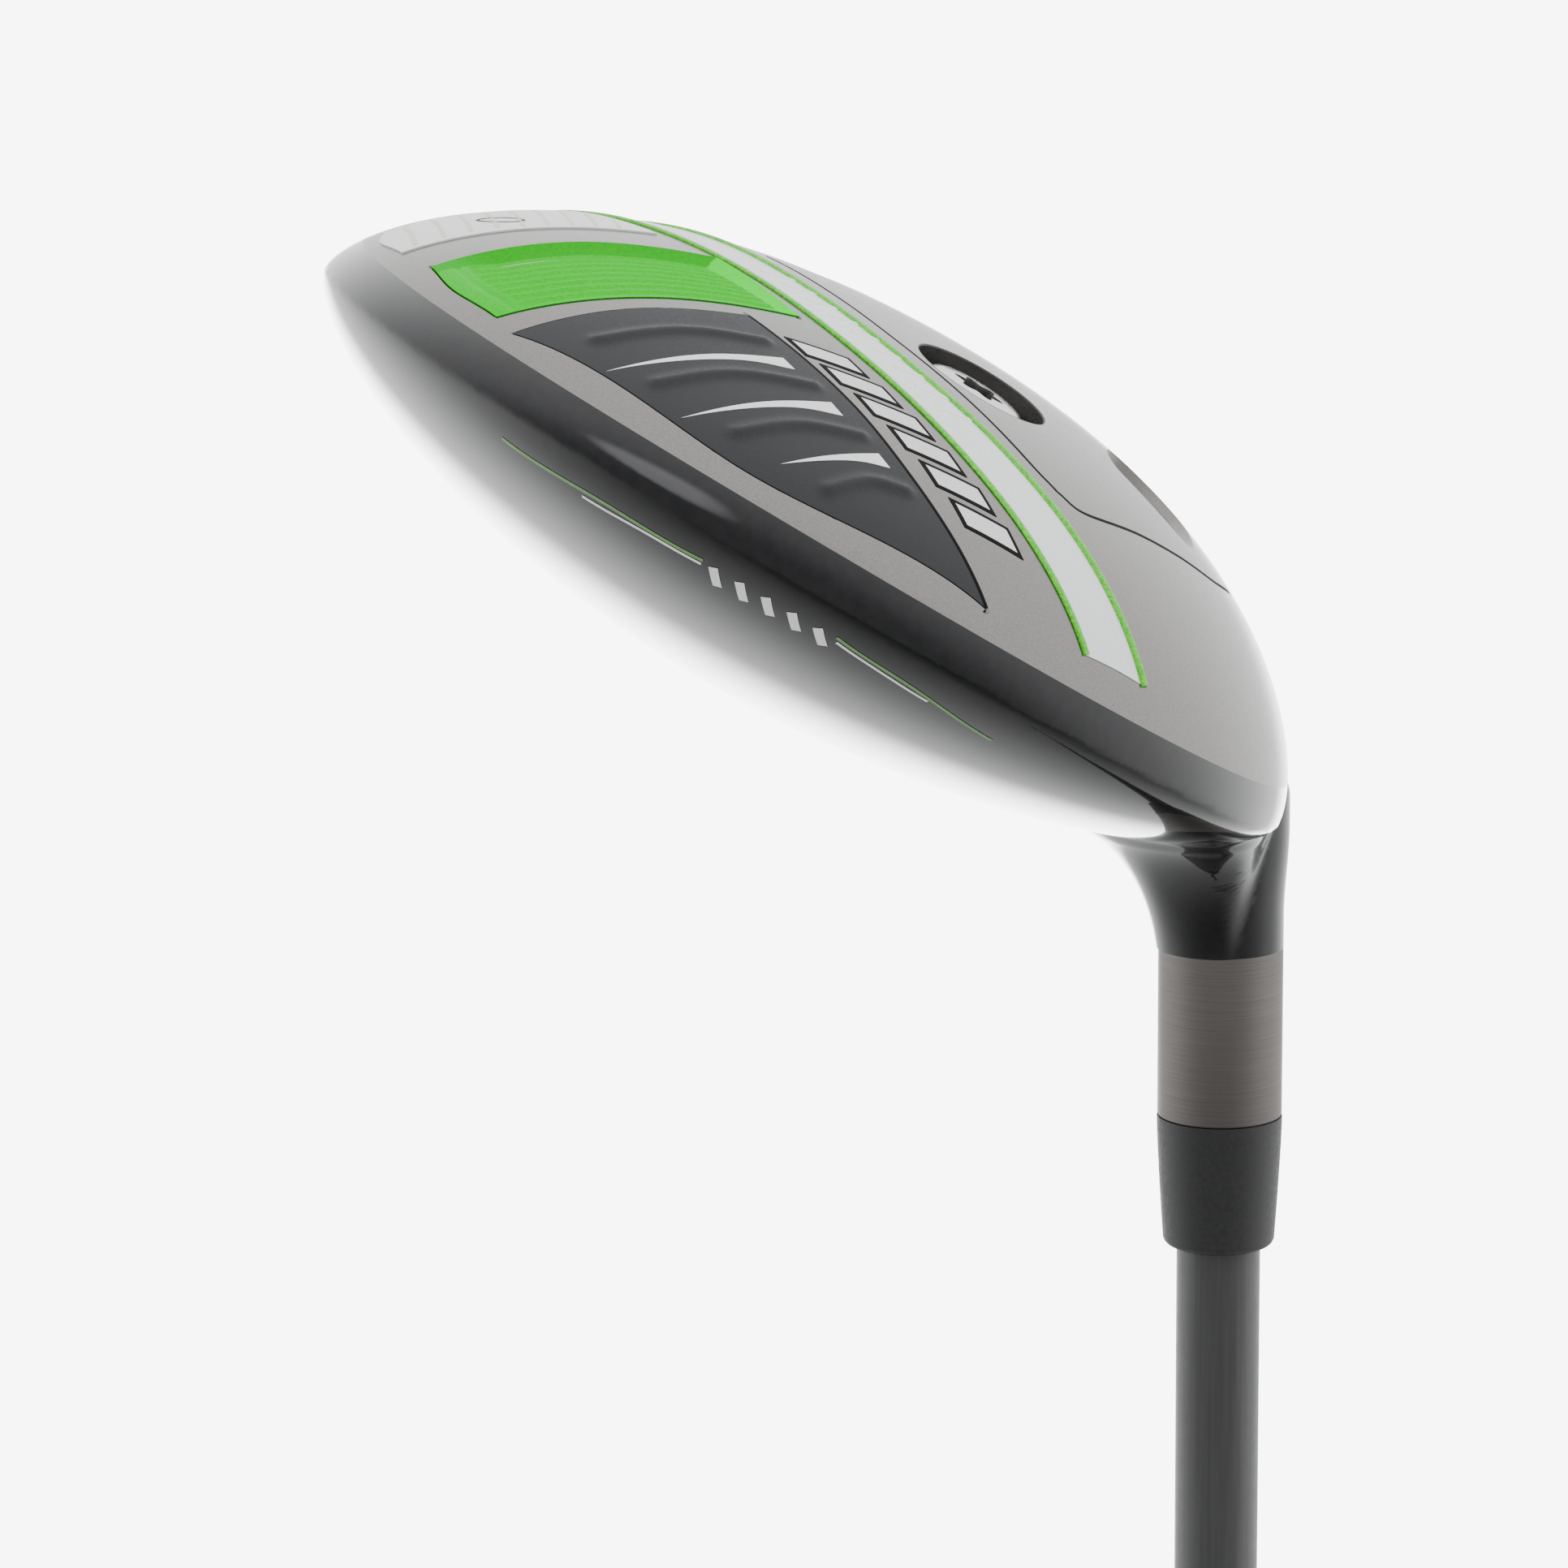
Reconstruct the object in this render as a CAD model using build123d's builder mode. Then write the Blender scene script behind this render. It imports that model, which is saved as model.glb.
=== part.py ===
"""Fairway wood: a bonded-hosel golf club with a hollow steel head, a carbon crown and a screw-in sole weight.

Frame: the shaft axis is Z. The origin is the centre of the grip cap's end face and +Z runs up the shaft to
the head. +Y is the target side (the face), -X the toe and +X the heel. The club is right-handed.
The head is drawn in its own plane: x toward the toe, y toward the face, z up through the crown, with its
origin where the shaft axis meets the ground.
"""
import os
from math import cos, pi, radians, sin, sqrt, tan
from build123d import *

os.makedirs("parts", exist_ok=True)

# ---------------------------------------------------------------- driving dimensions (mm)
club_length = 1092.2  # 43 in, from the butt to where the shaft axis meets the ground
lie_angle = 58.0
loft_angle = 16.0

# head planform: four quarter superellipses about one centre
head_mid = (35.0, -12.3)
toe_half = 53.8
heel_half = 53.9
front_half = 42.0
back_half = 56.0
plan_power = 2.03

# skirt line height, crown rise and sole drop, with their slopes per 50 mm
slope_span = 50.0
skirt_mid = 18.0
skirt_slope_b = 5.8
skirt_slope_a = 1.5
skirt_curve_b = 0.8
skirt_curve_a = 2.1
crown_rise = 19.3
crown_slope_b = 2.4
crown_slope_a = 0.9
crown_power = 1.9
crown_root = 1.48
sole_drop = 21.3
sole_slope_b = 4.9
sole_slope_a = -1.5
sole_power = 2.44
sole_root = 1.56

station_turns = (-88, -82, -73, -62, -50, -37, -24, -12, 0, 12, 24, 37, 50, 62, 73, 82, 88)

# face
face_radius = 290.0  # bulge and roll
face_mid = (31.0, 16.1, 18.0)  # the second value is read on the ground plane
cup_back = 5.0
cup_heel = 14.0
cup_toe_end = 110.0  # past the toe
cup_front_end = 45.0  # past the face
score_depth = 0.3
score_width = 0.8
score_pitch = 4.5
score_count = 6
score_length = 42.0

# walls and the crown joint
body_wall = 1.9
crown_panel_t = 1.2
crown_bond_t = 0.2
crown_inset = 3.5  # from the head's outline to the panel's edge
crown_ledge = 5.0  # width of the bonded ledge
crown_front = -7.0
crown_edge_turns = (8, -168)  # where the panel's rounded edge starts and ends, in degrees from the toe
crown_heel_corner = 14.0
crown_toe_step = 6.0
inlay_t = 0.9
glue_t = 0.2
damping_t = 1.5
film_t = 0.25
raise_t = 0.3
groove_depth = 0.5
groove_width = 0.7
label_t = 0.15
blade_t = 1.6
blade_width = 12.0
blade_b = -2.0
blade_toe_a = 52.0
blade_heel_a = 14.0
damping_at = (54.0, -32.0)
damping_long = 12.0
damping_wide = 7.0

# hosel, ferrule and shaft
hosel_length = 58.8  # from the ground point to the hosel's end
hosel_r = 6.35
hosel_bore_depth = 33.0
neck_radius = 9.0
neck_start = 36.0  # below the ground point
neck_floor = 22.0
neck_tuck = 0.12  # how far the heel side draws in as the toe side flares
neck_back = 0.25  # how far the flare leans back
neck_swell = 0.35  # how far it widens front and back
ferrule_length = 13.5
ferrule_small_r = 5.65
ferrule_round = 0.8
shaft_tip_r = 4.25
shaft_butt_r = 7.6
tip_parallel = 90.0
insertion = 32.0
glue_gap = 0.15
tip_weight_length = 14.0
tip_plug_length = 6.0
tip_wall = 1.9
butt_wall = 1.0

# grip
grip_length = 267.0
grip_butt_r = 13.2
grip_mouth_r = 9.0
grip_waist_r = 10.6
cap_t = 4.0
cap_r = 13.6
cap_round = 1.5
tape_t = 0.2
vent_r = 2.0

# sole weight
port_at = (28.6, -19.3)
port_recess_r = 7.25
port_floor = 1.0
port_top = 11.5
port_wall_r = 9.0
port_roof_t = 1.5
screw_head_r = 5.5
screw_head_t = 2.8
screw_chamfer = 0.4
screw_shank_r = 3.0
screw_length = 8.0
washer_t = 0.6
washer_r = 5.2
washer_play = 0.03  # between the washer and the screw's head
thread_gap = 0.05
socket_r = 2.2
socket_lobe_r = 0.55
socket_depth = 2.0
socket_lobes = 6

# outlines on the sole, in the head's plan; each is a closed chain of lines (2 points) and curves (3 or more)
badge_outline = [
    [(78.0, -38.0), (68.0, -28.0), (56.5, -20.5)],
    [(56.5, -20.5), (46.5, -31.2)],
    [(46.5, -31.2), (58.0, -39.6), (69.5, -49.5)],
    [(69.5, -49.5), (74.6, -44.0), (78.0, -38.0)],
]
panel_outline = [
    [(67.3, -52.1), (59.2, -43.6), (50.5, -36.8)],
    [(50.5, -36.8), (38.0, -46.0), (29.0, -53.0), (17.6, -60.4)],
    [(17.6, -60.4), (42.5, -62.9), (67.3, -52.1)],
]
stripe_inner = [
    (75.0, -2.0),
    (64.0, -12.8),
    (52.0, -23.5),
    (41.0, -33.0),
    (28.5, -42.0),
    (18.0, -48.4),
    (7.5, -54.5),
]
stripe_outer = [
    (67.5, 1.0),
    (57.0, -9.0),
    (45.5, -20.0),
    (35.0, -29.0),
    (23.5, -36.5),
    (12.5, -42.8),
    (1.2, -49.6),
]
line_width = 0.6
end_gap = 0.3
louvre_ridges = [
    [(60.4, -51.5), (54.4, -45.5), (47.8, -41.7)],
    [(53.5, -56.0), (48.3, -50.4), (41.6, -46.4)],
    [(45.0, -59.0), (40.6, -54.0), (35.4, -50.9)],
    [(35.3, -60.5), (32.6, -56.6), (29.3, -54.9)],
]
ridge_width = 1.6
streaks = [
    [(58.0, -56.2), (51.6, -49.0), (45.4, -43.6), (43.9, -44.9)],
    [(49.9, -59.8), (44.6, -53.2), (39.4, -47.9), (37.8, -49.2)],
    [(40.1, -60.5), (36.6, -56.0), (33.2, -52.1), (31.6, -53.2)],
]
label_outline = [
    [(85.0, -20.0), (84.3, -26.0), (81.5, -32.4)],
    [(81.5, -32.4), (71.6, -23.6), (62.8, -16.8)],
    [(62.8, -16.8), (71.0, -8.4)],
    [(71.0, -8.4), (78.6, -14.0), (85.0, -20.0)],
]
emblem_start = (43.6, -38.6)
emblem_end = (20.2, -54.6)
emblem_count = 6
emblem_width = 2.2
emblem_reach = 4.4
plateau_path = [(53.0, -8.0), (44.0, -16.6), (36.0, -23.9), (22.0, -34.2), (17.3, -36.6)]
plateau_end = [(17.3, -36.6), (14.0, -36.2), (8.6, -29.6), (4.3, -24.3), (-0.2, -18.0), (-2.6, -12.0)]
toe_window = [(50.0, -4.6), (44.5, -1.6), (46.5, 3.2), (56.0, 3.2)]
heel_window = [(13.2, -14.2), (3.2, -16.4), (5.6, -6.0), (14.2, -4.2)]
window_depth = 1.0

# cutting blocks run from this level, below the sole, to past the crown
block_low = -30.0
block_tall = 100.0

# ---------------------------------------------------------------- the head's frame
lie = radians(lie_angle)
loft_rad = radians(loft_angle)
toe_dir = (-sin(lie), 0, cos(lie))
up_dir = (-cos(lie), 0, -sin(lie))
head = Plane(origin=(0, 0, club_length), x_dir=toe_dir, z_dir=up_dir)


def at(a, b, c):
    """A point given in the head's frame."""
    return head.from_local_coords(Vector(a, b, c))


def level(c):
    """The head's plane at height c."""
    return head.offset(c)


# ---------------------------------------------------------------- the head's outer form
def skirt_height(a, b):
    """Height of the widest line of the head above the ground plane."""
    da = (a - head_mid[0]) / slope_span
    db = (b - head_mid[1]) / slope_span
    return skirt_mid + skirt_slope_a * da + skirt_slope_b * db + skirt_curve_a * da**2 + skirt_curve_b * db**2


def surface_height(a, b, inset, crown):
    """Height of the crown or the sole, for the form shrunk by inset."""
    da = a - head_mid[0]
    db = b - head_mid[1]
    half_a = (toe_half if da > 0 else heel_half) - inset
    half_b = (front_half if db > 0 else back_half) - inset
    reach = min(1.0, (abs(da / half_a) ** plan_power + abs(db / half_b) ** plan_power) ** (1 / plan_power))
    if crown:
        rise = crown_rise - inset + (crown_slope_a * da + crown_slope_b * db) / slope_span
        return skirt_height(a, b) + rise * (1 - reach**crown_power) ** (1 / crown_root)
    drop = sole_drop - inset + (sole_slope_a * da + sole_slope_b * db) / slope_span
    return skirt_height(a, b) - drop * (1 - reach**sole_power) ** (1 / sole_root)


def section_points(a, inset, crown, count=13):
    """Points over the crown or under the sole at station a, from the face side to the back."""
    half_a = (toe_half if a > head_mid[0] else heel_half) - inset
    chord = (1 - abs((a - head_mid[0]) / half_a) ** plan_power) ** (1 / plan_power)
    points = []
    for k in range(count):
        turn = pi * k / (count - 1)
        share = (1 - abs(sin(turn)) ** 1.5) ** 0.5
        side = 1 if cos(turn) > 0 else -1
        half_b = (front_half if side > 0 else back_half) - inset
        b = head_mid[1] + side * share * half_b * chord
        points.append((b, surface_height(a, b, inset, crown)))
    return points


def head_form(inset):
    """The whole head as one solid, shrunk by inset, with its face cut to the bulge sphere."""
    stations = []
    for turn in station_turns:
        half = (toe_half if turn > 0 else heel_half) - inset
        stations.append(head_mid[0] + half * sin(radians(turn)))
    with BuildPart() as form:
        sections = []
        for a in stations:
            with BuildSketch(Plane(origin=at(a, 0, 0), x_dir=(0, 1, 0), z_dir=toe_dir)) as outline:
                with BuildLine():
                    Spline(*section_points(a, inset, True))
                    Spline(*section_points(a, inset, False))
                make_face()
            sections.append(outline.sketch.face())
        loft(sections=sections, clean=False)
        face_b = face_mid[1] - face_mid[2] * tan(loft_rad)
        ball_b = face_b - face_radius * cos(loft_rad)
        ball_c = face_mid[2] - face_radius * sin(loft_rad)
        with Locations(at(face_mid[0], ball_b, ball_c)):
            Sphere(face_radius - inset, mode=Mode.INTERSECT)
    return form.part


# ---------------------------------------------------------------- helpers for skins and prisms
def plan_block(outline, low=-25.0, high=16.0):
    """A straight block through the sole over a closed chain of lines and curves drawn in plan."""
    with BuildPart() as block:
        with BuildSketch(level(low)):
            with BuildLine():
                for run in outline:
                    if len(run) == 2:
                        Line(*run)
                    else:
                        Spline(*run)
            make_face()
        extrude(amount=high - low)
    return block.part


def shifted(points, distance):
    """The same curve moved sideways, to the left of its own direction."""
    moved = []
    for k, (a, b) in enumerate(points):
        before = points[max(k - 1, 0)]
        after = points[min(k + 1, len(points) - 1)]
        run_a = after[0] - before[0]
        run_b = after[1] - before[1]
        size = sqrt(run_a**2 + run_b**2)
        moved.append((a - run_b / size * distance, b + run_a / size * distance))
    return moved


def lengthened(points, extra):
    """The same curve with both ends moved outward along it."""
    ends = []
    for tip, inner in ((points[0], points[1]), (points[-1], points[-2])):
        run_a = tip[0] - inner[0]
        run_b = tip[1] - inner[1]
        size = sqrt(run_a**2 + run_b**2)
        ends.append((tip[0] + run_a / size * extra, tip[1] + run_b / size * extra))
    return [ends[0], *points[1:-1], ends[1]]


def ribbon(points, left, right):
    """The closed outline of a ribbon that follows a curve, from left to right of it."""
    one = shifted(points, left)
    other = shifted(points, right)
    return [one, [one[-1], other[-1]], other[::-1], [other[0], one[0]]]


def closed(points):
    """A closed chain of straight lines."""
    return [[points[k], points[(k + 1) % len(points)]] for k in range(len(points))]


def lens(points, width):
    """A ridge outline: pointed at both ends, widest at the middle."""
    start, middle, end = points
    out = shifted(points, width / 2)[1]
    back = shifted(points, -width / 2)[1]
    return [[start, out, end], [end, back, start]]


def plan_point(turn, inset):
    """A point on the head's outline, shrunk by inset."""
    half_a = (toe_half if cos(turn) > 0 else heel_half) - inset
    half_b = (front_half if sin(turn) > 0 else back_half) - inset
    share_a = abs(cos(turn) / half_a) ** plan_power
    share_b = abs(sin(turn) / half_b) ** plan_power
    reach = (share_a + share_b) ** (-1 / plan_power)
    return (head_mid[0] + reach * cos(turn), head_mid[1] + reach * sin(turn))


def crown_block(inset, front):
    """The space over the crown panel: inside the outline, behind the front band and clear of the hosel."""
    first = radians(crown_edge_turns[0])
    last = radians(crown_edge_turns[1])
    points = []
    for k in range(17):
        points.append(plan_point(first + (last - first) * k / 16, inset))
    corner = (crown_heel_corner - front / 4, front)
    toe_corner = (points[0][0] - crown_toe_step, front)
    with BuildPart() as block:
        with BuildSketch(level(0)):
            with BuildLine():
                Spline(*points)
                Line(points[-1], corner)
                Line(corner, toe_corner)
                Line(toe_corner, points[0])
            make_face()
        extrude(amount=block_tall)
        tilt = (-skirt_slope_a / slope_span, -skirt_slope_b / slope_span, 1)
        normal = at(*tilt) - at(0, 0, 0)
        split(bisect_by=Plane(origin=at(*head_mid, skirt_mid + 1), z_dir=normal), keep=Keep.TOP)
    return block.part


def skin(outline, top, bottom):
    """A thin piece that follows the sole, over an outline, between two depths below the surface."""
    with BuildPart() as piece:
        add(plan_block(outline))
        add(forms[top], mode=Mode.INTERSECT)
        add(forms[bottom], mode=Mode.SUBTRACT)
    return piece.part


def export_piece(piece, name):
    """Label a finished piece and write it as its own STEP file."""
    piece.label = name
    export_step(piece, f"parts/{name}.step")


depths = [-raise_t, -label_t, 0, film_t, score_depth, groove_depth, inlay_t, inlay_t + glue_t, window_depth]
depths += [crown_panel_t, crown_panel_t + crown_bond_t, body_wall, body_wall + damping_t]
forms = {depth: head_form(depth) for depth in depths}
outer = forms[0]
cavity = forms[body_wall]

pocket_inner = lengthened(stripe_inner, end_gap)
pocket_outer = lengthened(stripe_outer, end_gap)
stripe_outline = [pocket_inner, [pocket_inner[-1], pocket_outer[-1]], pocket_outer[::-1]]
stripe_outline.append([pocket_outer[0], pocket_inner[0]])
bond_depth = crown_panel_t + crown_bond_t
pocket_depth = inlay_t + glue_t
hosel_end = club_length - hosel_length
bore_end = hosel_end + hosel_bore_depth
tip_end = hosel_end + insertion
bore_r = shaft_tip_r + glue_gap

# ---------------------------------------------------------------- hosel neck
with BuildPart() as neck:
    with Locations((0, 0, hosel_end)):
        Cylinder(hosel_r, hosel_length - neck_start, align=(Align.CENTER, Align.CENTER, Align.MIN))
    heights = [neck_radius * sin(radians(10 * step)) for step in range(9)]
    flares = [neck_radius * (1 - cos(radians(10 * step))) for step in range(9)]
    heights.append(neck_start - neck_floor)
    flares.append(flares[-1] + 0.5)
    for rise, flare in zip(heights, flares):
        toe_reach = hosel_r + flare
        heel_reach = hosel_r - neck_tuck * flare
        with BuildSketch(Plane.XY.offset(club_length - neck_start + rise)):
            with Locations(((heel_reach - toe_reach) / 2, -neck_back * flare)):
                Ellipse((toe_reach + heel_reach) / 2, hosel_r + neck_swell * flare)
    loft()

# ---------------------------------------------------------------- cup region shared by the face and the body
with BuildPart() as cup_block:
    with BuildSketch(level(block_low)):
        with Locations(((cup_heel + cup_toe_end) / 2, (cup_back + cup_front_end) / 2)):
            Rectangle(cup_toe_end - cup_heel, cup_front_end - cup_back)
    extrude(amount=block_tall)

# ---------------------------------------------------------------- head body
with BuildPart() as head_body:
    add(outer)
    add(cavity, mode=Mode.SUBTRACT)
    add(crown_block(crown_inset + crown_ledge, crown_front - crown_ledge), mode=Mode.SUBTRACT)
    add(crown_block(crown_inset, crown_front) - forms[bond_depth], mode=Mode.SUBTRACT)
    add(cup_block.part, mode=Mode.SUBTRACT)
    add(neck.part)
    with Locations((0, 0, hosel_end)):
        Cylinder(bore_r, hosel_bore_depth, align=(Align.CENTER, Align.CENTER, Align.MIN), mode=Mode.SUBTRACT)
    with BuildSketch(level(block_low)):
        with Locations(port_at):
            Circle(port_recess_r)
    extrude(amount=port_floor - block_low, mode=Mode.SUBTRACT)
    add(plan_block(badge_outline) - forms[pocket_depth], mode=Mode.SUBTRACT)
    add(plan_block(panel_outline) - forms[pocket_depth], mode=Mode.SUBTRACT)
    add(plan_block(stripe_outline) - forms[film_t], mode=Mode.SUBTRACT)
    for window in (toe_window, heel_window):
        add(plan_block(closed(window)) - forms[window_depth], mode=Mode.SUBTRACT)
    for path in (plateau_path, plateau_end):
        groove = ribbon(path, groove_width / 2, -groove_width / 2)
        add(plan_block(groove) - forms[groove_depth], mode=Mode.SUBTRACT)
export_piece(head_body.part, "head_body")

# ---------------------------------------------------------------- face cup with its score lines
face_origin = at(face_mid[0], face_mid[1] - face_mid[2] * tan(loft_rad), face_mid[2])
face_normal = at(0, cos(loft_rad), sin(loft_rad)) - at(0, 0, 0)
face_plane = Plane(origin=face_origin, x_dir=toe_dir, z_dir=face_normal)

with BuildPart() as score_block:
    with BuildSketch(face_plane.offset(-2.5)):
        with GridLocations(1, score_pitch, 1, score_count):
            SlotOverall(score_length, score_width)
    extrude(amount=4)
    add(forms[score_depth], mode=Mode.SUBTRACT)

with BuildPart() as face_cup:
    add(outer)
    add(cup_block.part, mode=Mode.INTERSECT)
    add(cavity, mode=Mode.SUBTRACT)
    add(score_block.part, mode=Mode.SUBTRACT)
export_piece(face_cup.part, "face_cup")

# ---------------------------------------------------------------- crown panel and its glue line
with BuildPart() as crown_panel:
    add(crown_block(crown_inset, crown_front))
    add(outer, mode=Mode.INTERSECT)
    add(forms[crown_panel_t], mode=Mode.SUBTRACT)
export_piece(crown_panel.part, "crown_panel")

with BuildPart() as crown_bond:
    add(crown_block(crown_inset, crown_front))
    add(forms[crown_panel_t], mode=Mode.INTERSECT)
    add(forms[bond_depth], mode=Mode.SUBTRACT)
    add(crown_block(crown_inset + crown_ledge, crown_front - crown_ledge), mode=Mode.SUBTRACT)
export_piece(crown_bond.part, "crown_bond")

# ---------------------------------------------------------------- brace blades behind the face
for name, blade_a in (("brace_blade_toe", blade_toe_a), ("brace_blade_heel", blade_heel_a)):
    with BuildPart() as brace_blade:
        with BuildSketch(level(block_low)):
            with Locations((blade_a, blade_b)):
                Rectangle(blade_width, blade_t)
        extrude(amount=block_tall)
        add(cavity, mode=Mode.INTERSECT)
    export_piece(brace_blade.part, name)

# ---------------------------------------------------------------- weight port, screw and washer
with BuildPart() as weight_port:
    with BuildSketch(level(block_low)):
        with Locations(port_at):
            Circle(port_wall_r)
    extrude(amount=port_top - block_low)
    add(cavity, mode=Mode.INTERSECT)
    with BuildSketch(level(block_low)):
        with Locations(port_at):
            Circle(port_recess_r)
    extrude(amount=port_floor - block_low, mode=Mode.SUBTRACT)
    with BuildSketch(level(port_floor)):
        with Locations(port_at):
            Circle(screw_shank_r + thread_gap)
    extrude(amount=port_top - port_floor - port_roof_t, mode=Mode.SUBTRACT)
export_piece(weight_port.part, "weight_port")

washer_low = port_floor - washer_t
with BuildPart() as weight_washer:
    with BuildSketch(level(washer_low)):
        with Locations(port_at):
            Circle(washer_r)
            Circle(screw_shank_r + thread_gap, mode=Mode.SUBTRACT)
    extrude(amount=washer_t)
export_piece(weight_washer.part, "weight_washer")

screw_seat = washer_low - washer_play
with BuildPart() as weight_screw:
    with BuildSketch(level(screw_seat - screw_head_t)):
        with Locations(port_at):
            Circle(screw_head_r)
    extrude(amount=screw_head_t)
    rims = weight_screw.edges().filter_by(GeomType.CIRCLE)
    chamfer(rims.sort_by(Axis(at(*port_at, 0), up_dir))[0], length=screw_chamfer)
    with BuildSketch(level(screw_seat)):
        with Locations(port_at):
            Circle(screw_shank_r)
    extrude(amount=screw_length)
    with BuildSketch(level(screw_seat - screw_head_t)):
        with Locations(port_at):
            Circle(socket_r - socket_lobe_r)
            with PolarLocations(socket_r - socket_lobe_r, socket_lobes):
                Circle(socket_lobe_r)
    extrude(amount=socket_depth, mode=Mode.SUBTRACT)
export_piece(weight_screw.part, "weight_screw")

# ---------------------------------------------------------------- what is bonded to the sole
export_piece(skin(badge_outline, 0, inlay_t), "toe_badge")
export_piece(skin(badge_outline, inlay_t, pocket_depth), "badge_adhesive")
export_piece(skin(panel_outline, inlay_t, pocket_depth), "panel_adhesive")

with BuildPart() as louvre_panel:
    add(skin(panel_outline, 0, inlay_t))
    for ridge in louvre_ridges:
        add(skin(lens(ridge, ridge_width), -raise_t, film_t))
export_piece(louvre_panel.part, "louvre_panel")

with BuildPart() as panel_streaks:
    for streak in streaks:
        start, bend, near, far = streak
        outline = [[start, bend, near], [near, far], [far, start]]
        add(skin(outline, -raise_t, 0))
export_piece(panel_streaks.part, "panel_streaks")

inner_line = ribbon(stripe_inner, 0, -line_width)
outer_line = ribbon(stripe_outer, 0, line_width)
export_piece(skin(inner_line, -raise_t, film_t), "stripe_edge_inner")
export_piece(skin(outer_line, -raise_t, film_t), "stripe_edge_outer")

film_inner = shifted(stripe_inner, -line_width)
film_outer = shifted(stripe_outer, line_width)
film_start = [film_outer[0], film_inner[0]]
film_end = [film_inner[-1], film_outer[-1]]
film_outline = [film_inner, film_end, film_outer[::-1], film_start]
export_piece(skin(film_outline, 0, film_t), "stripe_film")

with BuildPart() as emblem_bars:
    run_a = emblem_end[0] - emblem_start[0]
    run_b = emblem_end[1] - emblem_start[1]
    for k in range(emblem_count):
        share = k / (emblem_count - 1)
        a = emblem_start[0] + share * run_a
        b = emblem_start[1] + share * run_b
        low = (a - emblem_reach * 0.25, b - emblem_reach * 0.55)
        high = (a - emblem_reach * 0.15, b + emblem_reach * 0.55)
        bar = [low, (low[0] - emblem_width, low[1] - 0.7), (high[0] - emblem_width, high[1] - 0.7), high]
        add(skin(closed(bar), -raise_t, 0))
export_piece(emblem_bars.part, "emblem_bars")

export_piece(skin(label_outline, -label_t, 0), "inventory_label")

with BuildPart() as damping_pad:
    with BuildSketch(level(block_low)):
        with Locations(damping_at):
            Ellipse(damping_long, damping_wide)
    extrude(amount=skirt_mid - block_low)
    add(cavity, mode=Mode.INTERSECT)
    add(forms[body_wall + damping_t], mode=Mode.SUBTRACT)
export_piece(damping_pad.part, "damping_pad")

# ---------------------------------------------------------------- ferrule, shaft and what is inside the tip
with BuildPart() as ferrule:
    with BuildSketch(Plane.XZ):
        with BuildLine():
            Polyline(
                (shaft_tip_r, hosel_end),
                (hosel_r, hosel_end),
                (ferrule_small_r, hosel_end - ferrule_length),
                (shaft_tip_r, hosel_end - ferrule_length),
                close=True,
            )
        make_face()
    revolve(axis=Axis.Z)
    lower_rims = ferrule.edges().filter_by(GeomType.CIRCLE).group_by(Axis.Z)[0]
    fillet(lower_rims.sort_by(SortBy.RADIUS)[-1], radius=ferrule_round)
export_piece(ferrule.part, "ferrule")

shaft_start = cap_t
taper_start = tip_end - tip_parallel


def shaft_r(z):
    """The shaft's outer radius at height z."""
    share = min(1.0, max(0.0, (taper_start - z) / (taper_start - shaft_start)))
    return shaft_tip_r + share * (shaft_butt_r - shaft_tip_r)


with BuildPart() as shaft:
    with BuildSketch(Plane.XZ):
        with BuildLine():
            Polyline(
                (shaft_butt_r - butt_wall, shaft_start),
                (shaft_butt_r, shaft_start),
                (shaft_tip_r, taper_start),
                (shaft_tip_r, tip_end),
                (shaft_tip_r - tip_wall, tip_end),
                (shaft_tip_r - tip_wall, taper_start),
                close=True,
            )
        make_face()
    revolve(axis=Axis.Z)
export_piece(shaft.part, "shaft")

with BuildPart() as shaft_epoxy:
    with BuildSketch(Plane.XY.offset(hosel_end)):
        Circle(bore_r)
        Circle(shaft_tip_r, mode=Mode.SUBTRACT)
    extrude(amount=insertion)
export_piece(shaft_epoxy.part, "shaft_epoxy")

with BuildPart() as tip_weight:
    with BuildSketch(Plane.XY.offset(tip_end - tip_weight_length)):
        Circle(shaft_tip_r - tip_wall)
    extrude(amount=tip_weight_length)
export_piece(tip_weight.part, "tip_weight")

with BuildPart() as tip_plug:
    with BuildSketch(Plane.XY.offset(tip_end - tip_weight_length - tip_plug_length)):
        Circle(shaft_tip_r - tip_wall)
    extrude(amount=tip_plug_length)
export_piece(tip_plug.part, "tip_plug")

# ---------------------------------------------------------------- grip
with BuildPart() as grip_tape:
    with BuildSketch(Plane.XZ):
        with BuildLine():
            Polyline(
                (shaft_r(cap_t), cap_t),
                (shaft_r(cap_t) + tape_t, cap_t),
                (shaft_r(grip_length) + tape_t, grip_length),
                (shaft_r(grip_length), grip_length),
                close=True,
            )
        make_face()
    revolve(axis=Axis.Z)
export_piece(grip_tape.part, "grip_tape")

with BuildPart() as grip_sleeve:
    with BuildSketch(Plane.XZ):
        with BuildLine():
            Line((shaft_r(cap_t) + tape_t, cap_t), (grip_butt_r, cap_t))
            Spline(
                (grip_butt_r, cap_t),
                (grip_butt_r - 0.6, grip_length * 0.15),
                (grip_waist_r, grip_length * 0.55),
                (grip_mouth_r, grip_length - 3),
            )
            Line((grip_mouth_r, grip_length - 3), (grip_mouth_r - 1, grip_length))
            Line((grip_mouth_r - 1, grip_length), (shaft_r(grip_length) + tape_t, grip_length))
            Line((shaft_r(grip_length) + tape_t, grip_length), (shaft_r(cap_t) + tape_t, cap_t))
        make_face()
    revolve(axis=Axis.Z)
export_piece(grip_sleeve.part, "grip_sleeve")

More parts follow.
